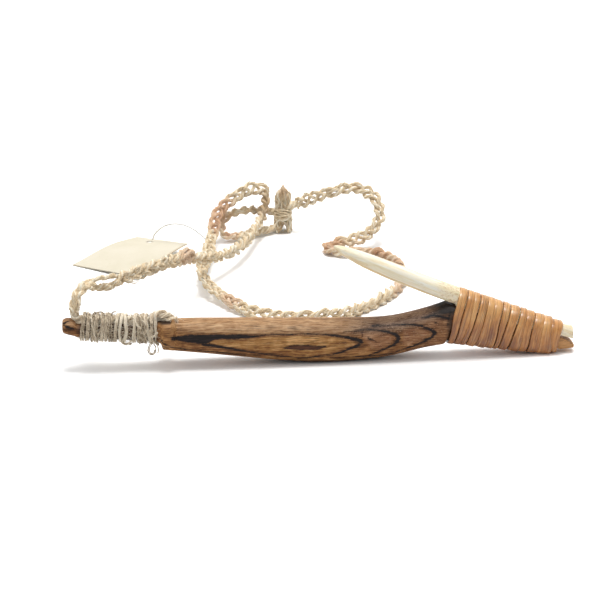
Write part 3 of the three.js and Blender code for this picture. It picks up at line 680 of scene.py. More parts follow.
def bone_material():
    bone = Shader("polished_bone", roughness=0.36, specular=0.5)
    place = bone.add("Mapping", {"Vector": bone.place(), "Rotation": [0, -BONE_TILT, 0]})
    streak = bone.grain(place, (40, 750, 750), 4, 0.6, 0.2)
    fine = bone.grain(place, (260, 4200, 4200), 2)
    pits = bone.grain(place, (900, 2600, 2600), 3, 0.7)
    tone = bone.ramp(streak, [
        (0.36, (240, 224, 184)), (0.46, (248, 236, 204)), (0.54, (252, 244, 222)), (0.66, (254, 250, 238)),
    ])
    bone.color(bone.layered(
        tone,
        (bone.times(bone.value("stain"), bone.between(streak, 0.62, 0.4, 0.35, 1.0)), (222, 184, 116)),
        (bone.times(bone.value("root"), 0.7), (248, 230, 188)),
        (bone.times(bone.value("root"), bone.between(pits, 0.5, 0.62)), (198, 158, 98)),
        (bone.between(fine, 0.6, 0.7, 0, 0.3), (206, 172, 116)),
    ))
    bone.set({
        "Subsurface Weight": 0.1, "Subsurface Radius": (1.0, 0.7, 0.45), "Subsurface Scale": 1.0 * MM,
    })
    bone.bump(streak, 0.10)
    bone.bump(fine, 0.05)
    return bone.material


def make_bone():
    mesh = fine_copy("bone_point", "bone_blade", BONE_GRID, BONE_EASING)
    points, normals = points_and_normals(mesh)
    x = points[:, 0]
    across, along = math.sin(BONE_TILT), math.cos(BONE_TILT)
    levelled = points @ np.array([[along, 0, across], [0, 1, 0], [-across, 0, along]])
    grooves = rough_field(levelled, (22, 0.9, 0.9), 15) * 0.035
    dents = rough_field(points, (7, 3, 3), 12) * 0.05
    blunt = 0.35 * step(-x, -9.5, -5)
    moved = points + normals * (grooves + dents + blunt)[:, None]
    moved[:, 2] += 0.55 * step(x, 83, 85.2)
    move_points(mesh, moved)
    lean = normals @ np.array([-math.sin(STAINED_SIDE), 0, -math.cos(STAINED_SIDE)])
    stain = 0.8 * step(lean, -0.15, 0.75) * (1 - step(x, 40, 46)) + 0.25 * step(x, 80, 86)
    stain = np.maximum(stain, 0.35 * step(x, 37, 45) * step(lean, -0.6, 0.3))
    root = 0.7 * step(x, 38, 44) * (1 - 0.6 * step(x, 78, 84))
    set_attributes(mesh, stain=np.clip(stain, 0, 1), root=root)
    placed("bone_blade", mesh, bone_material(), "bone_point")


# Point lashing: one strand of split cane round the joint, thirteen strips across the front
SEAT_GAP = 0.3
JOINT_START = np.array([46.06, 0.0, 15.2])
JOINT_SLOPE = math.radians(14.9)
JOINT_AXIS = np.array([math.cos(JOINT_SLOPE), 0.0, -math.sin(JOINT_SLOPE)])
JOINT_UP = np.array([math.sin(JOINT_SLOPE), 0.0, math.cos(JOINT_SLOPE)])
BUNDLE_LENGTH = 45.4
JOINT_HEIGHTS = [(0, 18.8), (34.5, 11.2), (39.5, 8.5), (BUNDLE_LENGTH, 7.0)]
JOINT_WIDTHS = [(0, 7.8), (34.5, 6.6), (39.5, 5.8), (BUNDLE_LENGTH, 5.0)]
JOINT_LIFTS = [(0, 0), (34.5, 0), (39.5, 0.45), (BUNDLE_LENGTH, 1.8)]
JOINT_ROUNDNESS = 3
JOINT_TOP_NARROWING = 0.14
CANE_THICKNESS = 0.75
# Edges of the strips along the joint's axis, at the top, middle and foot of the front, and the gap there
STRIP_EDGES = [
    (-0.7, -0.75, 0.5, 0), (2.5, 2.35, 2.7, 0.3), (5.0, 5.6, 4.9, -0.05), (7.4, 7.3, 6.9, 0.35),
    (10.2, 10.5, 10.2, 0.12), (12.8, 13, 14, -0.15), (16, 16.3, 16.9, 0.3), (18.9, 18.6, 18.5, 0.35),
    (22.6, 22.2, 22, 0.5), (25.2, 25.2, 26.3, 0.0), (28.2, 28.3, 29, 0.35), (31.7, 31.9, 32.7, -0.15),
    (34.8, 36, 37.8, -0.12), (39.2, 38.9, 39.6, 0),
]
STRIP_LIFTS = [0.05, 0.0, 0.06, 0.0, 0.1, 0.0, 0.06, 0.0, 0.08, 0.02, 0.0, 0.1, 0.18]
TURN_STEPS = 96
# Outline of the strip across its run, as shares of half its width and half its thickness
STRIP_SECTION = np.array([
    (1, -0.25), (0.99, 0.25), (0.94, 0.7), (0.8, 0.9), (0.45, 0.98), (0, 1), (-0.45, 0.98), (-0.8, 0.9),
    (-0.94, 0.7), (-0.99, 0.25), (-1, -0.25), (-0.85, -0.8), (-0.4, -1), (0.4, -1), (0.85, -0.8),
])


def joint_ring(along, angle, proud):
    """Points on the joint's outline, made larger by proud; angle 0 is the back, a quarter the top."""
    half_height = value_at(JOINT_HEIGHTS, along) / 2 + proud
    half_width = value_at(JOINT_WIDTHS, along) / 2 + proud
    reach = ring_reach(angle, half_width, half_height, JOINT_ROUNDNESS)
    height = np.sin(angle) * reach
    across = np.cos(angle) * reach * (1 - JOINT_TOP_NARROWING * height / half_height)
    middle = JOINT_START + np.outer(along, JOINT_AXIS)
    middle = middle + np.outer(value_at(JOINT_LIFTS, along) + height, JOINT_UP)
    return middle + np.outer(across, [0, 1, 0])


def cane_material():
    cane = Shader("split_cane", roughness=0.4, specular=0.2)
    strand = cane.strand()
    fibres = cane.grain(strand, (0.07, 17, 1), 4, 0.65)
    lines = cane.grain(strand, (0.04, 40, 1), 2, 0.5)
    patches = cane.grain(strand, (0.11, 3, 1), 4, 0.6)
    # the tint runs from dark under the joint to light on top of each turn: painted shade and light
    factor = cane.weighted((patches, 0.55), (fibres, 0.25), (cane.value("tint"), 0.2))
    tone = cane.ramp(factor, [
        (0.38, (128, 70, 22)), (0.46, (174, 108, 42)), (0.53, (202, 136, 64)), (0.62, (228, 172, 104)),
    ])
    cane.color(cane.layered(
        tone,
        (cane.between(fibres, 0.52, 0.64, 0, 0.75), (118, 66, 26)),
        (cane.between(fibres, 0.47, 0.36, 0, 0.6), (230, 184, 126)),
        (cane.between(lines, 0.56, 0.63, 0, 0.6), (96, 54, 24)),
    ))
    cane.set({"Coat Weight": 0.85, "Coat Roughness": 0.3})
    cane.bump(fibres, 0.10)
    cane.bump(lines, 0.05)
    return cane.material


def make_cane():
    count = len(STRIP_EDGES) - 1
    turns = count - 0.25
    turn = np.linspace(0, turns, round(turns * TURN_STEPS) + 1)
    nodes, places, widths = [], [], []
    for k, (left, right) in enumerate(zip(STRIP_EDGES, STRIP_EDGES[1:])):
        for share, level in ((0.06, 2), (0.25, 1), (0.44, 0)):
            low, high = left[level] + left[3] / 2, right[level] - right[3] / 2
            nodes.append(k + share)
            places.append((low + high) / 2)
            widths.append(high - low)
    along = eased(np.interp(turn, nodes + [turns + 0.1], places + [places[-1] + 1.0]), 13)
    width = eased(np.interp(turn, nodes, widths), 13) * (1 + wander(turn, 0.8, 0.03))
    lift = eased(np.interp(turn, np.arange(count) + 0.25, STRIP_LIFTS), 30) + wander(turn, 1.7, 0.04)
    angle = 1.5 * math.pi - TURN * turn
    proud = SEAT_GAP + CANE_THICKNESS / 2
    seat = joint_ring(along, angle, proud)
    outward = unit(joint_ring(along, angle, proud + 1) - seat)
    path = seat + outward * lift[:, None]
    tangents = unit(np.gradient(path, axis=0))
    roll = wander(turn, 0.9, 0.08)
    sides = unit(np.cross(tangents, outward))
    outward = unit(np.cross(sides, tangents) + roll[:, None] * sides)
    sides = unit(np.cross(tangents, outward))
    # Painted shade and light: each turn's tone goes from dark under the joint to light on top
    tint = 0.5 + 0.5 * np.sin(angle)
    shape = Shape()
    half_thickness = CANE_THICKNESS / 2
    frames = path[None], outward[None], sides[None]
    shape.sweep(*frames, STRIP_SECTION, width / 2, half_thickness, tint[None], 0.0)
    shape.finish("cane_winding", cane_material(), "point_lashing")


# Plaited cord: three loose strands, each of thin plies twisted together

# Shares of a cord's diameter by which its strands swing and rise, and the twist of their plies
STRAND_SWING = 0.37
STRAND_RISE = 0.18
PLY_TWIST = 6.5
ROPE_PLY_TWIST = 6.0
LOOP_STEPS = 22
FUZZ_STEPS = 6
FUZZ_LOWEST = 0.03
FIBRE_STOPS = (0.36, 0.47, 0.58, 0.74)


def strand_bundle(shape, middle, normals, sides, plies, ply_radius, bundle_radius, twist, around=5):
    """Plies that twist round a strand's middle line, with a little wander of their own."""
    run = run_of(middle)
    turn = TURN * run / twist + wander(run, 17, 0.5)
    phases = TURN * np.arange(plies) / plies
    reach = bundle_radius * (1 + wander(run, 7, 0.28, (plies,)))
    angle = turn + phases[:, None] + wander(run, 9, 0.3, (plies,))
    radius = ply_radius * (1 + wander(run, 5, 0.16, (plies,)))
    paths = offset_line(middle, reach, angle, sides, normals)
    shape.tubes(paths, radius, around, rng.uniform(0, 1, plies), 0.0)


def plait(shape, path, diameter, period, plies=5, start_up=UP, near=0.0, far=0.0, slack=()):
    """Three strands plaited, near closer and far looser. slack: place, reach and rise of each strand."""
    tangents, normals, sides = side_frames(path, start_up)
    run = run_of(path)
    strand_radius = diameter * 0.2
    beat = TURN * run / period + wander(run, 60, 0.7)
    loose = 1 + wander(run, 31, 0.18) - near * (1 - step(run, 8, 13)) + far * step(run, 90, 130)
    for j in range(3):
        phase = beat + TURN * j / 3 + wander(run, 20, 0.16)
        swing = diameter * STRAND_SWING * loose * (1 + wander(run, 13, 0.16))
        rise = diameter * STRAND_RISE * np.sin(2 * phase) + wander(run, 9, 0.14)
        parted = np.zeros_like(run)
        for place, reach, rises in slack:
            share = 1 - step(np.abs(run - place), 0.2 * reach, reach)
            swing = swing * (1 - 0.8 * share * min(1, max(rises) / 2))
            parted += rises[j] * share
        middle = (
            path
            + (swing * np.sin(phase) + wander(run, 8, 0.16))[:, None] * sides
            + rise[:, None] * normals
            + parted[:, None] * unit(UP - tangents * tangents[:, 2:])
        )
        radii = strand_radius * 0.44, strand_radius * 0.72
        strand_bundle(shape, middle, normals, sides, plies, *radii, PLY_TWIST)
    return normals, sides


def rope(shape, path, diameter, lay, plies=6, start_up=UP, opening=0.0):
    """Three strands laid round each other, which open by some share towards the far end."""
    normals, sides = side_frames(path, start_up)[1:]
    run = run_of(path)
    strand_radius = diameter * 0.25
    for j in range(3):
        turn = TURN * (run / lay + j / 3) + wander(run, 9, 0.2)
        reach = strand_radius * (1 + opening * (run / run[-1]) ** 2) * (1 + wander(run, 6, 0.15))
        middle = offset_line(path, reach, turn, sides, normals)
        radii = strand_radius * 0.4, strand_radius * 0.72
        strand_bundle(shape, middle, normals, sides, plies, *radii, ROPE_PLY_TWIST)
    return normals, sides


def slack_loops(shape, path, loops, plies=4, thick=1.0):
    """Yarns that leave a cord and come back: start and end along it, direction from up, and height."""
    run = run_of(path)
    tangents = unit(np.gradient(path, axis=0))
    normals = unit(UP - tangents * tangents[:, 2:])
    sides = np.cross(tangents, normals)
    t = np.linspace(0, 1, LOOP_STEPS)
    for start, end, direction, height in loops:
        at = start + t * (end - start)
        base, normal, side = (sampled(field, run, at) for field in (path, normals, sides))
        angle = math.radians(direction)
        out = math.cos(angle) * normal + math.sin(angle) * side
        middle = base + out * (0.8 + height * np.sin(math.pi * t) ** 0.8)[:, None]
        strand_bundle(shape, middle, normal, side, plies, 0.17 * thick, 0.27 * thick, 5.0, 4)


def fuzz(shape, path, normals, sides, count, start_reach, end_reach, thickness=0.045):
    """Loose fibre ends that stand off a cord, curling, each held within reach of its path."""
    index = rng.integers(0, len(path), count)
    angle = rng.uniform(0, TURN, count)
    out = np.cos(angle)[:, None] * sides[index] + np.sin(angle)[:, None] * normals[index]
    tangents = unit(np.gradient(path, axis=0))[index] * rng.choice([-1, 1], count)[:, None]
    length, lift, swirl = (
        rng.uniform(low, high, count)[:, None] for low, high in ((1.0, 3.4), (0.25, 1.0), (-1.0, 1.0))
    )
    t = np.linspace(0, 1, FUZZ_STEPS)
    risen = start_reach + lift * (end_reach - start_reach) * np.sin(t * 1.9)
    paths = (
        path[index][:, None]
        + out[:, None] * risen[..., None]
        + tangents[:, None] * (length * t)[..., None]
        + np.cross(tangents, out)[:, None] * (swirl * t**2)[..., None]
    )
    window = np.clip(index[:, None] + np.arange(-12, 13), 0, len(path) - 1)
    away = paths[:, :, None] - path[window][:, None]
    nearest = np.argmin(np.linalg.norm(away, axis=-1), axis=-1)
    offset = np.take_along_axis(away, nearest[..., None, None], axis=2)[:, :, 0]
    far = np.linalg.norm(offset, axis=-1, keepdims=True)
    paths += offset * (np.minimum(far, end_reach + 1.0) / np.maximum(far, 1e-6) - 1)
    paths[..., 2] = np.maximum(paths[..., 2], FUZZ_LOWEST)
    shape.tubes(paths, thickness, 3, rng.uniform(0.4, 1, count), tip=0.5)


def fibre_material(name, tones, patches=()):
    """Twisted plant fibre, from dark to pale. patches: middle, radius and colour of stained stretches and of
    painted shade.
    """
    fibre = Shader(name, roughness=0.85, specular=0.25)
    place = fibre.place()
    twisted = fibre.add("Mapping", {
        "Vector": fibre.strand(), "Scale": (0.9, 5.0, 1), "Rotation": (0, 0, math.radians(12)),
    })
    lines = fibre.noise(twisted, 1.6, 3.0, 0.6)
    cloud = fibre.noise(place, 180.0)
    factor = fibre.weighted((lines, 0.55), (fibre.value("tint"), 0.32), (cloud, 0.2))
    tone = fibre.ramp(factor, list(zip(FIBRE_STOPS, tones)))
    for middle, radius, color in patches:
        inputs = {0: place, 1: [c * MM for c in middle]}
        away = fibre.add("VectorMath", inputs, "Value", operation="DISTANCE")
        share = fibre.between(away, 0.4 * radius * MM, radius * MM, 0.75, 0.0)
        share = fibre.times(share, fibre.between(lines, 0.3, 0.55, 0.4, 1.0))
        tone = fibre.mix(share, tone, color)
    fibre.color(tone)
    fibre.set({"Sheen Weight": 0.2})
    fibre.bump(lines, 0.12)
    return fibre.material


REDDISH = (214, 162, 124)
PINKISH = (234, 200, 170)
# Painted shade on the snood's loop that stands beside the knot
PAINTED_SHADE_BROWN = (178, 146, 106)
SNOOD_PATCHES = [
    ((-29, 124, 13.5), 9, REDDISH), ((-32, 115, 10), 8, REDDISH), ((-26, 124, 3), 5, REDDISH),
    ((-46, 53, 21), 8, PINKISH), ((-29, 49.5, 3), 7, PINKISH), ((35, 60, 2), 8, PINKISH),
    ((14, 107, 3), 8, REDDISH), ((25, 102, 3), 8, PINKISH), ((34, 94, 3), 9, REDDISH),
    ((39.5, 82, 2.5), 7, REDDISH), ((-11, 130, 12), 9, PAINTED_SHADE_BROWN),
]

# Slack of the snood near the hook: where its strands part, and yarns that stand off it
SNOOD_SLACK = [(19.3, 9.0, (2.0, -1.3, -1.9)), (47.0, 9.0, (0.5, -0.6, 0.5))]
SNOOD_LOOPS = [
    (34, 39.5, 10, 1.3), (40, 46, -20, 1.2), (37, 44.5, 180, 2.0), (45, 51, 165, 1.7), (52, 58, 190, 1.4),
    (50, 57, 20, 1.2), (60, 66, 0, 1.3), (23, 29, 170, 1.2), (26, 33, 15, 1.0), (66, 71, 150, 1.2),
    (74, 80, 20, 1.6), (84, 90, 200, 1.2), (96, 102, 30, 1.2), (110, 116, 170, 1.4), (128, 133, 160, 1.3),
]
LOOSE_YARNS = 34
# Thick slack of the strands, seen as lumps, and frayed yarns that hang from the snood
SNOOD_LUMPS = [
    (35, 40, 0, 1.2), (42, 49, 180, 1.5), (50, 56, 170, 1.2), (59, 64, 175, 1.2), (67, 76, 0, 2.9),
    (69, 78, 25, 2.5), (66, 73, -15, 2.2), (73, 79, 5, 2.0), (88, 94, 170, 1.3),
]
FRAYED_YARNS = [
    [(-69, 22, 23.8), (-67.6, 22.5, 22.9), (-66, 23, 22.2), (-64.6, 24, 21.8), (-63.4, 25, 22.1)],
    [(-68, 22.3, 23.1), (-66.6, 22.8, 22.3), (-65.4, 23.4, 21.8), (-64.6, 24, 21.5)],
    [(-67.4, 22.6, 22.9), (-66.2, 23, 22.6), (-64.8, 24, 22.4)],
]
SNOOD_FUZZ = 2000
TAIL_FUZZ = 380


def make_snood(tone, path):
    shape = Shape()
    start_up = np.array([0, -1.0, 0.1])
    normals, sides = plait(
        shape, path, SNOOD_DIAMETER, SNOOD_PERIOD, start_up=start_up, near=0.35, far=0.18, slack=SNOOD_SLACK,
    )
    slack_loops(shape, path, SNOOD_LOOPS)
    slack_loops(shape, path, SNOOD_LUMPS, 5, 2.0)
    strand_bundle(shape, path[:16], normals[:16], sides[:16], 6, 0.4, 0.75, 7.0)
    for yarn in FRAYED_YARNS:
        shape.tubes(smooth_line(yarn, 0.4)[None], 0.2, 5, 0.7, tip=0.5)
    starts = rng.uniform(100, run_of(path)[-1] - 8, LOOSE_YARNS)
    loops = [(at, at + rng.uniform(4, 7), rng.uniform(0, 360), rng.uniform(0.5, 1.1)) for at in starts]
    slack_loops(shape, path, loops, 3)
    fuzz(shape, path, normals, sides, SNOOD_FUZZ, 1.2, 2.8, 0.055)
    return shape.finish("plaited_snood", tone, "snood")


def make_tail(tone, path):
    shape = Shape()
    normals, sides = plait(shape, path, TAIL_DIAMETER, TAIL_PERIOD, plies=4)
    fuzz(shape, path, normals, sides, TAIL_FUZZ, 1.1, 2.4)
    return shape.finish("plaited_tail", tone, "snood_tail_loop")


def make_string(path):
    shape = Shape()
    normals, sides = side_frames(path)[1:]
    strand_bundle(shape, path, normals, sides, 3, 0.2, 0.19, 2.2, 6)
    tones = (232, 228, 218), (246, 243, 236), (252, 250, 246), (255, 254, 252)
    return shape.finish("tag_thread", fibre_material("cotton_thread", tones), "tag_string")


def make_cords():
    tones = (210, 186, 147), (238, 216, 180), (250, 236, 208), (254, 247, 230)
    tone = fibre_material("snood_fibre", tones, SNOOD_PATCHES)
    snood_path = smooth_line(SNOOD_ROUTE, 0.8)
    tail_path = smooth_line(TAIL_ROUTE, 0.6)
    string_path = smooth_line(STRING_ROUTE, 0.35)
    snood = make_snood(tone, snood_path)
    tail = make_tail(tone, tail_path)
    string = make_string(string_path)
    knot = make_knot()
    tag = make_tag()


# Knot: an upright bundle of frayed yarn on two feet, with wraps round its waist
KNOT_MIDDLE = np.array([-2.8, 133.2, 0.0])
# Height and radius of the bundle
KNOT_RADII = [
    (0, 3.6), (5, 3.9), (8.4, 3.4), (11.5, 3.6), (14.7, 3.7), (17.9, 3), (19.8, 1.6), (21.4, 0.9),
]
KNOT_YARNS = 64
KNOT_STEPS = 26
KNOT_YARN_RADIUS = 0.42
KNOT_WRAP_RADIUS = 0.36
KNOT_FOOT = 2.1
KNOT_FUZZ = 500
# Ends of the cords inside the knot, each with its cord's diameter
KNOT_STUBS = [
    ([(3.4, 132, 12.9), (1.8, 132.1, 12.2), (0, 132.2, 11.6), (-2, 132.2, 11)], SNOOD_DIAMETER),
    ([(-8.0, 131.2, 2.2), (-6.6, 131.6, 2.4), (-5, 132, 3)], TAIL_DIAMETER),
    ([(-7.4, 135.6, 8.1), (-6.0, 134.9, 8), (-4.6, 134, 7.8)], TAIL_DIAMETER),
]
# Patches of the knot: a warm tone high on it, and painted shade low at the front between its feet
KNOT_PATCHES = [((-2.8, 130, 20), 5, (226, 192, 156)), ((-2.8, 129, 3.4), 2.6, (150, 116, 78))]


def make_knot():
    shape = Shape()
    t = np.linspace(0, 1, KNOT_STEPS)
    for _ in range(KNOT_YARNS):
        share = math.sqrt(rng.uniform(0.02, 1.0))
        top = rng.uniform(19, 21.2) - 3.4 * share**2
        z = 0.4 + t * (top - 0.4)
        start = rng.uniform(0, TURN)
        turn = start + t * rng.uniform(-1.2, 1.2) + wander(z, 9, 0.3)
        reach = share * (value_at(KNOT_RADII, z) - 0.4) + wander(z, 6, 0.35)
        spread = 1 - step(z, 0, 6.5)
        foot = math.copysign(KNOT_FOOT, math.cos(start)) * spread
        along = reach * np.cos(turn) * (1 - 0.5 * spread) + foot
        path = KNOT_MIDDLE + np.stack([along, reach * np.sin(turn), z], axis=1)
        shape.tubes(path[None], KNOT_YARN_RADIUS, 5, rng.uniform(0, 1, 1), 0.0, tip=0.5)
    angle = np.linspace(0, TURN, 40)
    for lean in (-1, 1):
        for k in range(3):
            height = 8.6 + lean * 1.7 * np.sin(angle + 0.6) + (k - 1.5) * 0.9 + wander(angle, 4, 0.4)
            radius = 3.3 + wander(angle, 3, 0.25)
            ring = np.stack([radius * np.cos(angle), radius * np.sin(angle), height], axis=1)
            shape.tubes((KNOT_MIDDLE + ring)[None], KNOT_WRAP_RADIUS, 5, rng.uniform(0, 1, 1))
    line = KNOT_MIDDLE + np.outer(1 + t * 15.5, UP)
    normals, sides = side_frames(line, np.array([1.0, 0, 0]))[1:]
    fuzz(shape, line, normals, sides, KNOT_FUZZ, 1.6, 4.6, 0.06)
    for stub, diameter in KNOT_STUBS:
        rope(shape, smooth_line(stub, 0.5), 0.85 * diameter, 9.0, 5)
    tones = (196, 170, 132), (246, 224, 186), (254, 240, 212), (254, 248, 230)
    tone = fibre_material("knot_fibre", tones, KNOT_PATCHES)
    return shape.finish("frayed_knot", tone, "snood_knot")


# Tag: a bare card with a hole for its string, bowed along its length and a little twisted
TAG_LEFT = np.array([-89.8, 100.6, 0.4])
TAG_FRONT = np.array([-64.1, 81.6, 1.6])
TAG_BACK = np.array([-64.0, 130.0, 0.8])
TAG_RIGHT = np.array([-43.6, 109.0, 4.4])
TAG_THICKNESS = 0.4
TAG_BOW = 1.2
TAG_HOLE = 1.4
TAG_HOLE_INSET = 4.6
TAG_HOLE_ACROSS = 12.3
TAG_COLUMNS = 60
TAG_ROWS = 34
TAG_LONG = np.linalg.norm(TAG_BACK - TAG_LEFT)
TAG_WIDE = np.linalg.norm(TAG_FRONT - TAG_LEFT)
TAG_ALONG = (TAG_BACK - TAG_LEFT) / TAG_LONG
TAG_OVER = (TAG_FRONT - TAG_LEFT) / TAG_WIDE
TAG_WELD = 0.02
TAG_TWIST = 0.25


def tag_sheet():
    """The card as a sheet of squares, those near the hole drawn back to its rim."""
    share = np.linspace(0, 1, TAG_COLUMNS + 1)[:, None]
    across = np.linspace(0, 1, TAG_ROWS + 1)[None]
    left = TAG_LEFT + share * (TAG_BACK - TAG_LEFT)
    right = TAG_FRONT + share * (TAG_RIGHT - TAG_FRONT)
    grid = left[:, None] * (1 - across)[..., None] + right[:, None] * across[..., None]
    grid[..., 2] += TAG_BOW * np.sin(math.pi * share)
    grid[..., 2] += TAG_TWIST * np.sin(2.2 * math.pi * share + 0.6) * (across - 0.5) * 2
    place = np.stack(np.broadcast_arrays(share * TAG_LONG, across * TAG_WIDE), axis=-1)
    away = place - np.array([TAG_LONG - TAG_HOLE_INSET, TAG_HOLE_ACROSS])
    gap = np.linalg.norm(away, axis=-1)
    shift = away * (np.maximum(gap, TAG_HOLE) / np.maximum(gap, 1e-6) - 1)[..., None]
    grid += shift[..., :1] * TAG_ALONG + shift[..., 1:] * TAG_OVER
    inside = gap < TAG_HOLE
    cut = inside[1:, :-1] & inside[:-1, 1:] & (inside[:-1, :-1] | inside[1:, 1:])
    index = np.arange(gap.size).reshape(gap.shape)
    faces = np.stack([index[:-1, :-1], index[1:, :-1], index[1:, 1:], index[:-1, 1:]], axis=-1)[~cut]
    mesh = bpy.data.meshes.new("card_tag")
    mesh.from_pydata((grid.reshape(-1, 3) * MM).tolist(), [], faces.tolist())
    return mesh


def card_material():
    card = Shader("plain_card", roughness=0.8, specular=0.3)
    speck = card.noise(card.place(), 900.0, 4.0)
    cloud = card.noise(card.place(), 60.0)
    tone = card.ramp(cloud, [(0.3, (215, 207, 184)), (0.55, (222, 214, 194)), (0.8, (227, 220, 203))])
    card.color(card.layered(
        tone,
        (card.between(card.value("rim"), 0.0, 0.9, 0.45, 0.0), (196, 172, 132)),
        (card.between(speck, 0.62, 0.75, 0, 0.25), (200, 184, 150)),
    ))
    card.bump(speck, 0.03)
    return card.material


def make_tag():
    solid = {"thickness": TAG_THICKNESS * MM, "offset": 0}
    weld = {"merge_threshold": TAG_WELD * MM}
    mesh = evaluated(tag_sheet(), "card_tag", ("WELD", weld), ("SOLIDIFY", solid))
    mesh.polygons.foreach_set("use_smooth", np.full(len(mesh.polygons), False))
    flat = points_and_normals(mesh)[0] - TAG_LEFT
    s, t = flat @ TAG_ALONG, flat @ TAG_OVER
    set_attributes(mesh, rim=np.clip(np.minimum.reduce([s, TAG_LONG - s, t, TAG_WIDE - t]), 0, 5))
    return placed("card_tag", mesh, card_material(), "paper_tag")


# Head lashing: coils of two thin yarns side by side over the neck and the bound cord
NECK_X = -85.5
NECK_TOPS = [(NECK_X, 17.2), (SHOULDER_X, 15.5)]
NECK_BOTTOMS = [(NECK_X, 11.9), (SHOULDER_X, 9.3)]
NECK_WIDTH = 6.0
BOUND_THICKNESS = 1.8
YARN_ROUNDNESS = 2.4
# Coils across the front: X under the neck, at mid height and on top, the spread of the two yarns, tint
COILS = [
    (-83.9, -83.3, -82.5, 0.8, 0.35), (-82.2, -81.6, -81.0, 0.8, 0.4), (-80.5, -80.1, -79.3, 0.3, 0.2),
    (-78.9, -78.9, -77.9, 0.95, 0.4), (-77.1, -76.8, -76.4, 0.8, 0.65), (-75.7, -75.3, -74.8, 0.7, 0.5),
    (-74.0, -74.0, -73.6, 0.8, 0.3), (-72.6, -72.2, -71.0, 0.9, 0.6), (-70.2, -70.9, -69.5, 0.45, 0.95),
    (-69.8, -68.3, -68.8, 0.45, 0.95), (-65.9, -65.8, -64.9, 0.8, 0.8), (-64.3, -64.1, -63.7, 0.8, 0.3),
    (-63.3, -63.1, -62.6, 0.7, 0.25), (-62.1, -62.0, -61.4, 0.5, 0.3), (-59.7, -60.9, -61.9, 0.7, 0.95),
    (-60.0, -59.5, -59.7, 0.4, 0.4), (-57.9, -58.1, -58.5, 0.8, 0.8),
]
# Yarns that cross the coils: X and height share at each end, from 0 under the neck to 1 on top
CROSSINGS = [
    (-80.2, 0.85, -78.4, 0.1), (-78.6, 0.9, -79.9, 0.25), (-76.0, 0.95, -78.0, 0.4),
    (-69.6, 0.08, -66.8, 0.3), (-70.0, 0.2, -66.6, 0.12), (-66.4, 0.95, -63.2, 0.62),
    (-64.2, 0.95, -60.6, 0.7), (-60.6, 0.6, -57.6, 0.15), (-60.8, 0.4, -57.8, 0.55),
]
# Slack loops and stray ends of the lashing yarn
LOOSE_ENDS = [
    [(-60.0, -3.4, 10.0), (-61.1, -3.9, 8.1), (-60.8, -4.0, 6.3), (-59.8, -4.0, 5.7), (-58.7, -4.0, 6.5),
     (-58.4, -3.9, 8.2), (-59.1, -3.6, 9.8)],
    [(-59.6, -3.4, 9.8), (-60.7, -4.1, 7.9), (-60.2, -4.2, 6.4), (-59.2, -4.1, 6.3), (-58.8, -3.9, 7.6)],
    [(-58.2, -3.6, 10.4), (-57.7, -4.0, 8.6), (-57.5, -4.1, 7.2), (-57.8, -4.0, 6.2)],
    [(-57.2, -4.0, 10.6), (-56.5, -4.9, 11.6), (-55.6, -5.1, 12.0), (-54.7, -5.1, 11.2)],
    [(-73.5, 0.0, 18.6), (-72.8, -0.4, 20.6), (-71.6, -0.6, 21.0)],
    [(-79.4, -0.4, 18.9), (-78.6, -0.7, 20.7), (-76.6, -0.8, 21.1), (-75.6, -0.6, 19.6)],
]
COIL_STEPS = 56
YARN_APART = 0.82
YARN_REACH = 0.19
YARN_PLY_RADIUS = 0.185
NECK_FUZZ = 1300


def neck_ring(x, angle, proud):
    """Points on the outline of the neck with the bound cord on it, made larger by proud."""
    top = value_at(NECK_TOPS, x) + SEAT_GAP + BOUND_THICKNESS + proud
    bottom = value_at(NECK_BOTTOMS, x) - proud
    reach = ring_reach(angle, NECK_WIDTH / 2 + proud, (top - bottom) / 2, YARN_ROUNDNESS)
    return np.stack([x, np.cos(angle) * reach, (top + bottom) / 2 + np.sin(angle) * reach], axis=-1)


def wind_yarn(shape, path, x, angle, plies, tint):
    """One twisted yarn on the neck, its tint changing along it."""
    outward = unit(neck_ring(x, angle, 3.0) - path)
    sides = unit(np.cross(unit(np.gradient(path, axis=0)), outward))
    run = run_of(path)
    twist = TURN * run / 3.0 + wander(run, 17, 0.5)
    for k in range(plies):
        reach = YARN_REACH * (1 + wander(run, 6, 0.25))
        ply = offset_line(path, reach, twist + TURN * k / plies, sides, outward)
        radius = YARN_PLY_RADIUS * (1 + wander(run, 4, 0.14))
        own = np.clip(tint + rng.uniform(-0.25, 0.25), 0, 1)
        shape.tubes(ply[None], radius, 5, own[None])


def wind_coils(shape):
    """The coils of two yarns round the neck."""
    count = len(COILS)
    turn = np.linspace(0, count, count * COIL_STEPS + 1)
    nodes = [k + share for k in range(count) for share in (0.25, 0.5, 0.75)]
    middle_x = eased(np.interp(turn, nodes, [coil[level] for coil in COILS for level in range(3)]), 6)
    middles = np.arange(count) + 0.5
    spread = eased(np.interp(turn, middles, [coil[3] for coil in COILS]), 10)
    tint = np.interp(turn, middles, [coil[4] for coil in COILS])
    angle = -TURN * turn
    for side in (-0.5, 0.5):
        x = middle_x + YARN_APART * side * spread * (1 + wander(turn, 1.4, 0.3)) + wander(turn, 0.8, 0.14)
        proud = SEAT_GAP + 0.45 + wander(turn, 0.6, 0.22) + 0.5 * (0.8 - spread) * (side > 0)
        proud = proud + 0.3 * step(np.sin(angle), 0.3, 0.95) * (1 + wander(turn, 2.3, 0.6))
        path = neck_ring(x, angle + wander(turn, 2, 0.05), proud)
        wind_yarn(shape, path, x, angle, 3, tint)


def cross_yarns(shape):
    """The yarns that cross the coils."""
    t = np.linspace(0, 1, 34)
    for start, high, end, low in CROSSINGS:
        angle = math.pi * (1.5 - high - t * (low - high)) + 0.15 * np.sin(math.pi * t)
        x = start + t * (end - start) + wander(t, 0.9, 0.15)
        path = neck_ring(x, angle, 1.45 + wander(t, 0.7, 0.15))
        wind_yarn(shape, path, x, angle, 2, np.full(len(t), rng.uniform(0.4, 1.0)))


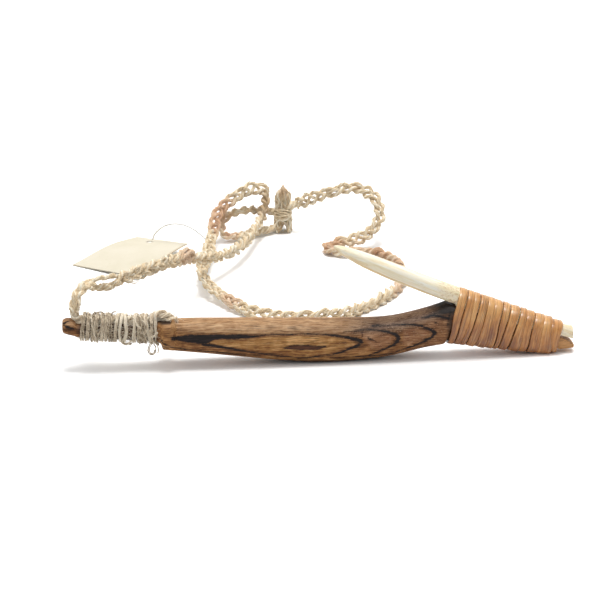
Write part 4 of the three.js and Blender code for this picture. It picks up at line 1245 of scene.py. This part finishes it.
def make_yarn():
    shape = Shape()
    wind_coils(shape)
    cross_yarns(shape)
    for points in LOOSE_ENDS:
        path = smooth_line(points, 0.25)
        normals, sides = side_frames(path)[1:]
        strand_bundle(shape, path, normals, sides, 3, 0.11, 0.11, 2.0)
    line = np.stack([np.linspace(-83, -57.6, 200), np.zeros(200), np.linspace(15.6, 13.6, 200)], axis=1)
    normals, sides = side_frames(line)[1:]
    fuzz(shape, line, normals, sides, NECK_FUZZ, 3.4, 5.4, 0.06)
    tones = (72, 59, 46), (180, 160, 132), (234, 218, 192), (252, 242, 222)
    shape.finish("yarn_lashing", fibre_material("lashing_yarn", tones), "head_lashing")


# Bound end: the snood comes down to the neck, lies under the lashing and ends in a tuft
BOUND_ROUTE = [
    (-85.9, 0, 21.8), (-85.9, -0.1, 20.2), (-85.6, -0.2, 19.0), (-84.4, -0.1, 18.4), (-82, 0, 18.1),
    (-75, 0, 17.8), (-68, 0, 17.3), (-61, 0, 16.9), (-57.6, 0, 16.8),
]
TUFT_ROUTE = [
    (-59.2, -0.8, 16.8), (-58.7, -1.0, 18.0), (-57.8, -1.1, 19.2), (-56.6, -1.1, 19.7), (-55.2, -1.2, 19.1),
    (-53.8, -1.3, 18.2), (-52.4, -1.4, 17.4), (-51.7, -1.4, 17.0),
]
UNDER_TUFT_ROUTE = [(-58.8, -0.9, 16.9), (-56.6, -1.2, 17.5), (-54.4, -1.4, 17.0), (-52.6, -1.5, 16.6)]
TUFT_FIBRES = 26
TUFT_STEPS = 24
TUFT_FIBRE_RADIUS = 0.15
TUFT_FUZZ = 200


def make_bound_end():
    shape = Shape()
    rope(shape, smooth_line(BOUND_ROUTE, 0.5), 3.2, 10.0, start_up=np.array([0, -1.0, 0.1]))
    rope(shape, smooth_line(UNDER_TUFT_ROUTE, 0.3), 2.0, 8.0, opening=0.4)
    tuft = smooth_line(TUFT_ROUTE, 0.3)
    normals, sides = rope(shape, tuft, 3.2, 8.0, 7, opening=0.4)
    ahead = unit(tuft[-1] - tuft[-6])
    t = np.linspace(0, 1, TUFT_STEPS)[:, None]
    for _ in range(TUFT_FIBRES):
        at = rng.integers(len(tuft) // 2, len(tuft))
        turn = rng.uniform(0, TURN)
        out = math.cos(turn) * sides[at] + math.sin(turn) * normals[at]
        middle = tuft[at] + out * (0.7 + 0.7 * t**1.5) + ahead * rng.uniform(1.2, 2.8) * t
        middle = middle + UP * wander(t[:, 0], 0.9, 0.25)[:, None]
        shape.tubes(middle[None], TUFT_FIBRE_RADIUS, 4, rng.uniform(0.3, 1, 1), tip=0.5)
    fuzz(shape, tuft, normals, sides, TUFT_FUZZ, 1.0, 2.6, 0.05)
    tones = (184, 160, 128), (236, 216, 186), (250, 238, 214), (254, 248, 234)
    shape.finish("bound_end", fibre_material("bound_fibre", tones), "snood_bound_end")


# Floor and light: a white sweep under two soft lamps overhead, and one in front that only shows in gloss
FLOOR_SIZE = 6000
FLOOR_TONE = 0.8
FLOOR_TONE_SEEN = 1.2
HORIZON_SHARE = 0.1
FRONT_SHARE = 0.4
# Lamps: place and size in metres, power in watts, and whether it lights matt surfaces too
LAMPS = [
    ("softbox", (0.05, 0.16, 1.3), 0.52, 8.4, True),
    ("small_lamp", (0.0, 0.06, 1.1), 0.2, 1.7, True),
    ("glint_lamp", (0.1, -0.66, 0.9), 0.32, 14, False),
]


def make_floor():
    mesh = bpy.data.meshes.new("floor")
    half = FLOOR_SIZE * MM / 2
    corners = [(-half, -half, 0), (half, -half, 0), (half, half, 0), (-half, half, 0)]
    mesh.from_pydata(corners, [], [(0, 1, 2, 3)])
    floor = bpy.data.objects.new("floor", mesh)
    bpy.context.scene.collection.objects.link(floor)
    white = Shader("white_floor", roughness=0.9, specular=0.0)
    white.color(white.mix(white.seen(), [FLOOR_TONE] * 3 + [1], [FLOOR_TONE_SEEN] * 3 + [1]))
    mesh.materials.append(white.material)


def make_backdrop():
    """Plain white where it is seen; as light, weaker near the horizon and in front."""
    world = bpy.data.worlds.new("studio")
    bpy.context.scene.world = world
    world.use_nodes = True
    sky = Nodes(world.node_tree)
    toward = sky.add("TexCoord", {}, "Generated")
    front = sky.between(sky.add("SeparateXYZ", {0: toward}, "Y"), -0.9, 0.0, FRONT_SHARE)
    height = sky.between(sky.add("SeparateXYZ", {0: toward}, "Z"), 0.05, 0.75, HORIZON_SHARE)
    strength = {"Factor": sky.seen(), "A": sky.times(height, front), "B": 1.0}
    background = world.node_tree.nodes["Background"]
    background.inputs["Color"].default_value = (1, 1, 1, 1)
    sky.put(background.inputs["Strength"], sky.add("Mix", strength))


def make_lamps():
    for name, at, size, power, matt in LAMPS:
        data = bpy.data.lights.new(name, "AREA")
        data.shape = "SQUARE"
        data.size = size
        data.energy = power
        lamp = bpy.data.objects.new(name, data)
        lamp.location = at
        lamp.visible_diffuse = matt
        lamp.rotation_euler = (-Vector(at)).to_track_quat("-Z", "Y").to_euler()
        bpy.context.scene.collection.objects.link(lamp)


make_cords()
make_floor()
make_backdrop()
make_lamps()
make_shank()
make_bone()
make_cane()
make_yarn()
make_bound_end()

bpy.context.scene.view_settings.view_transform = "Standard"
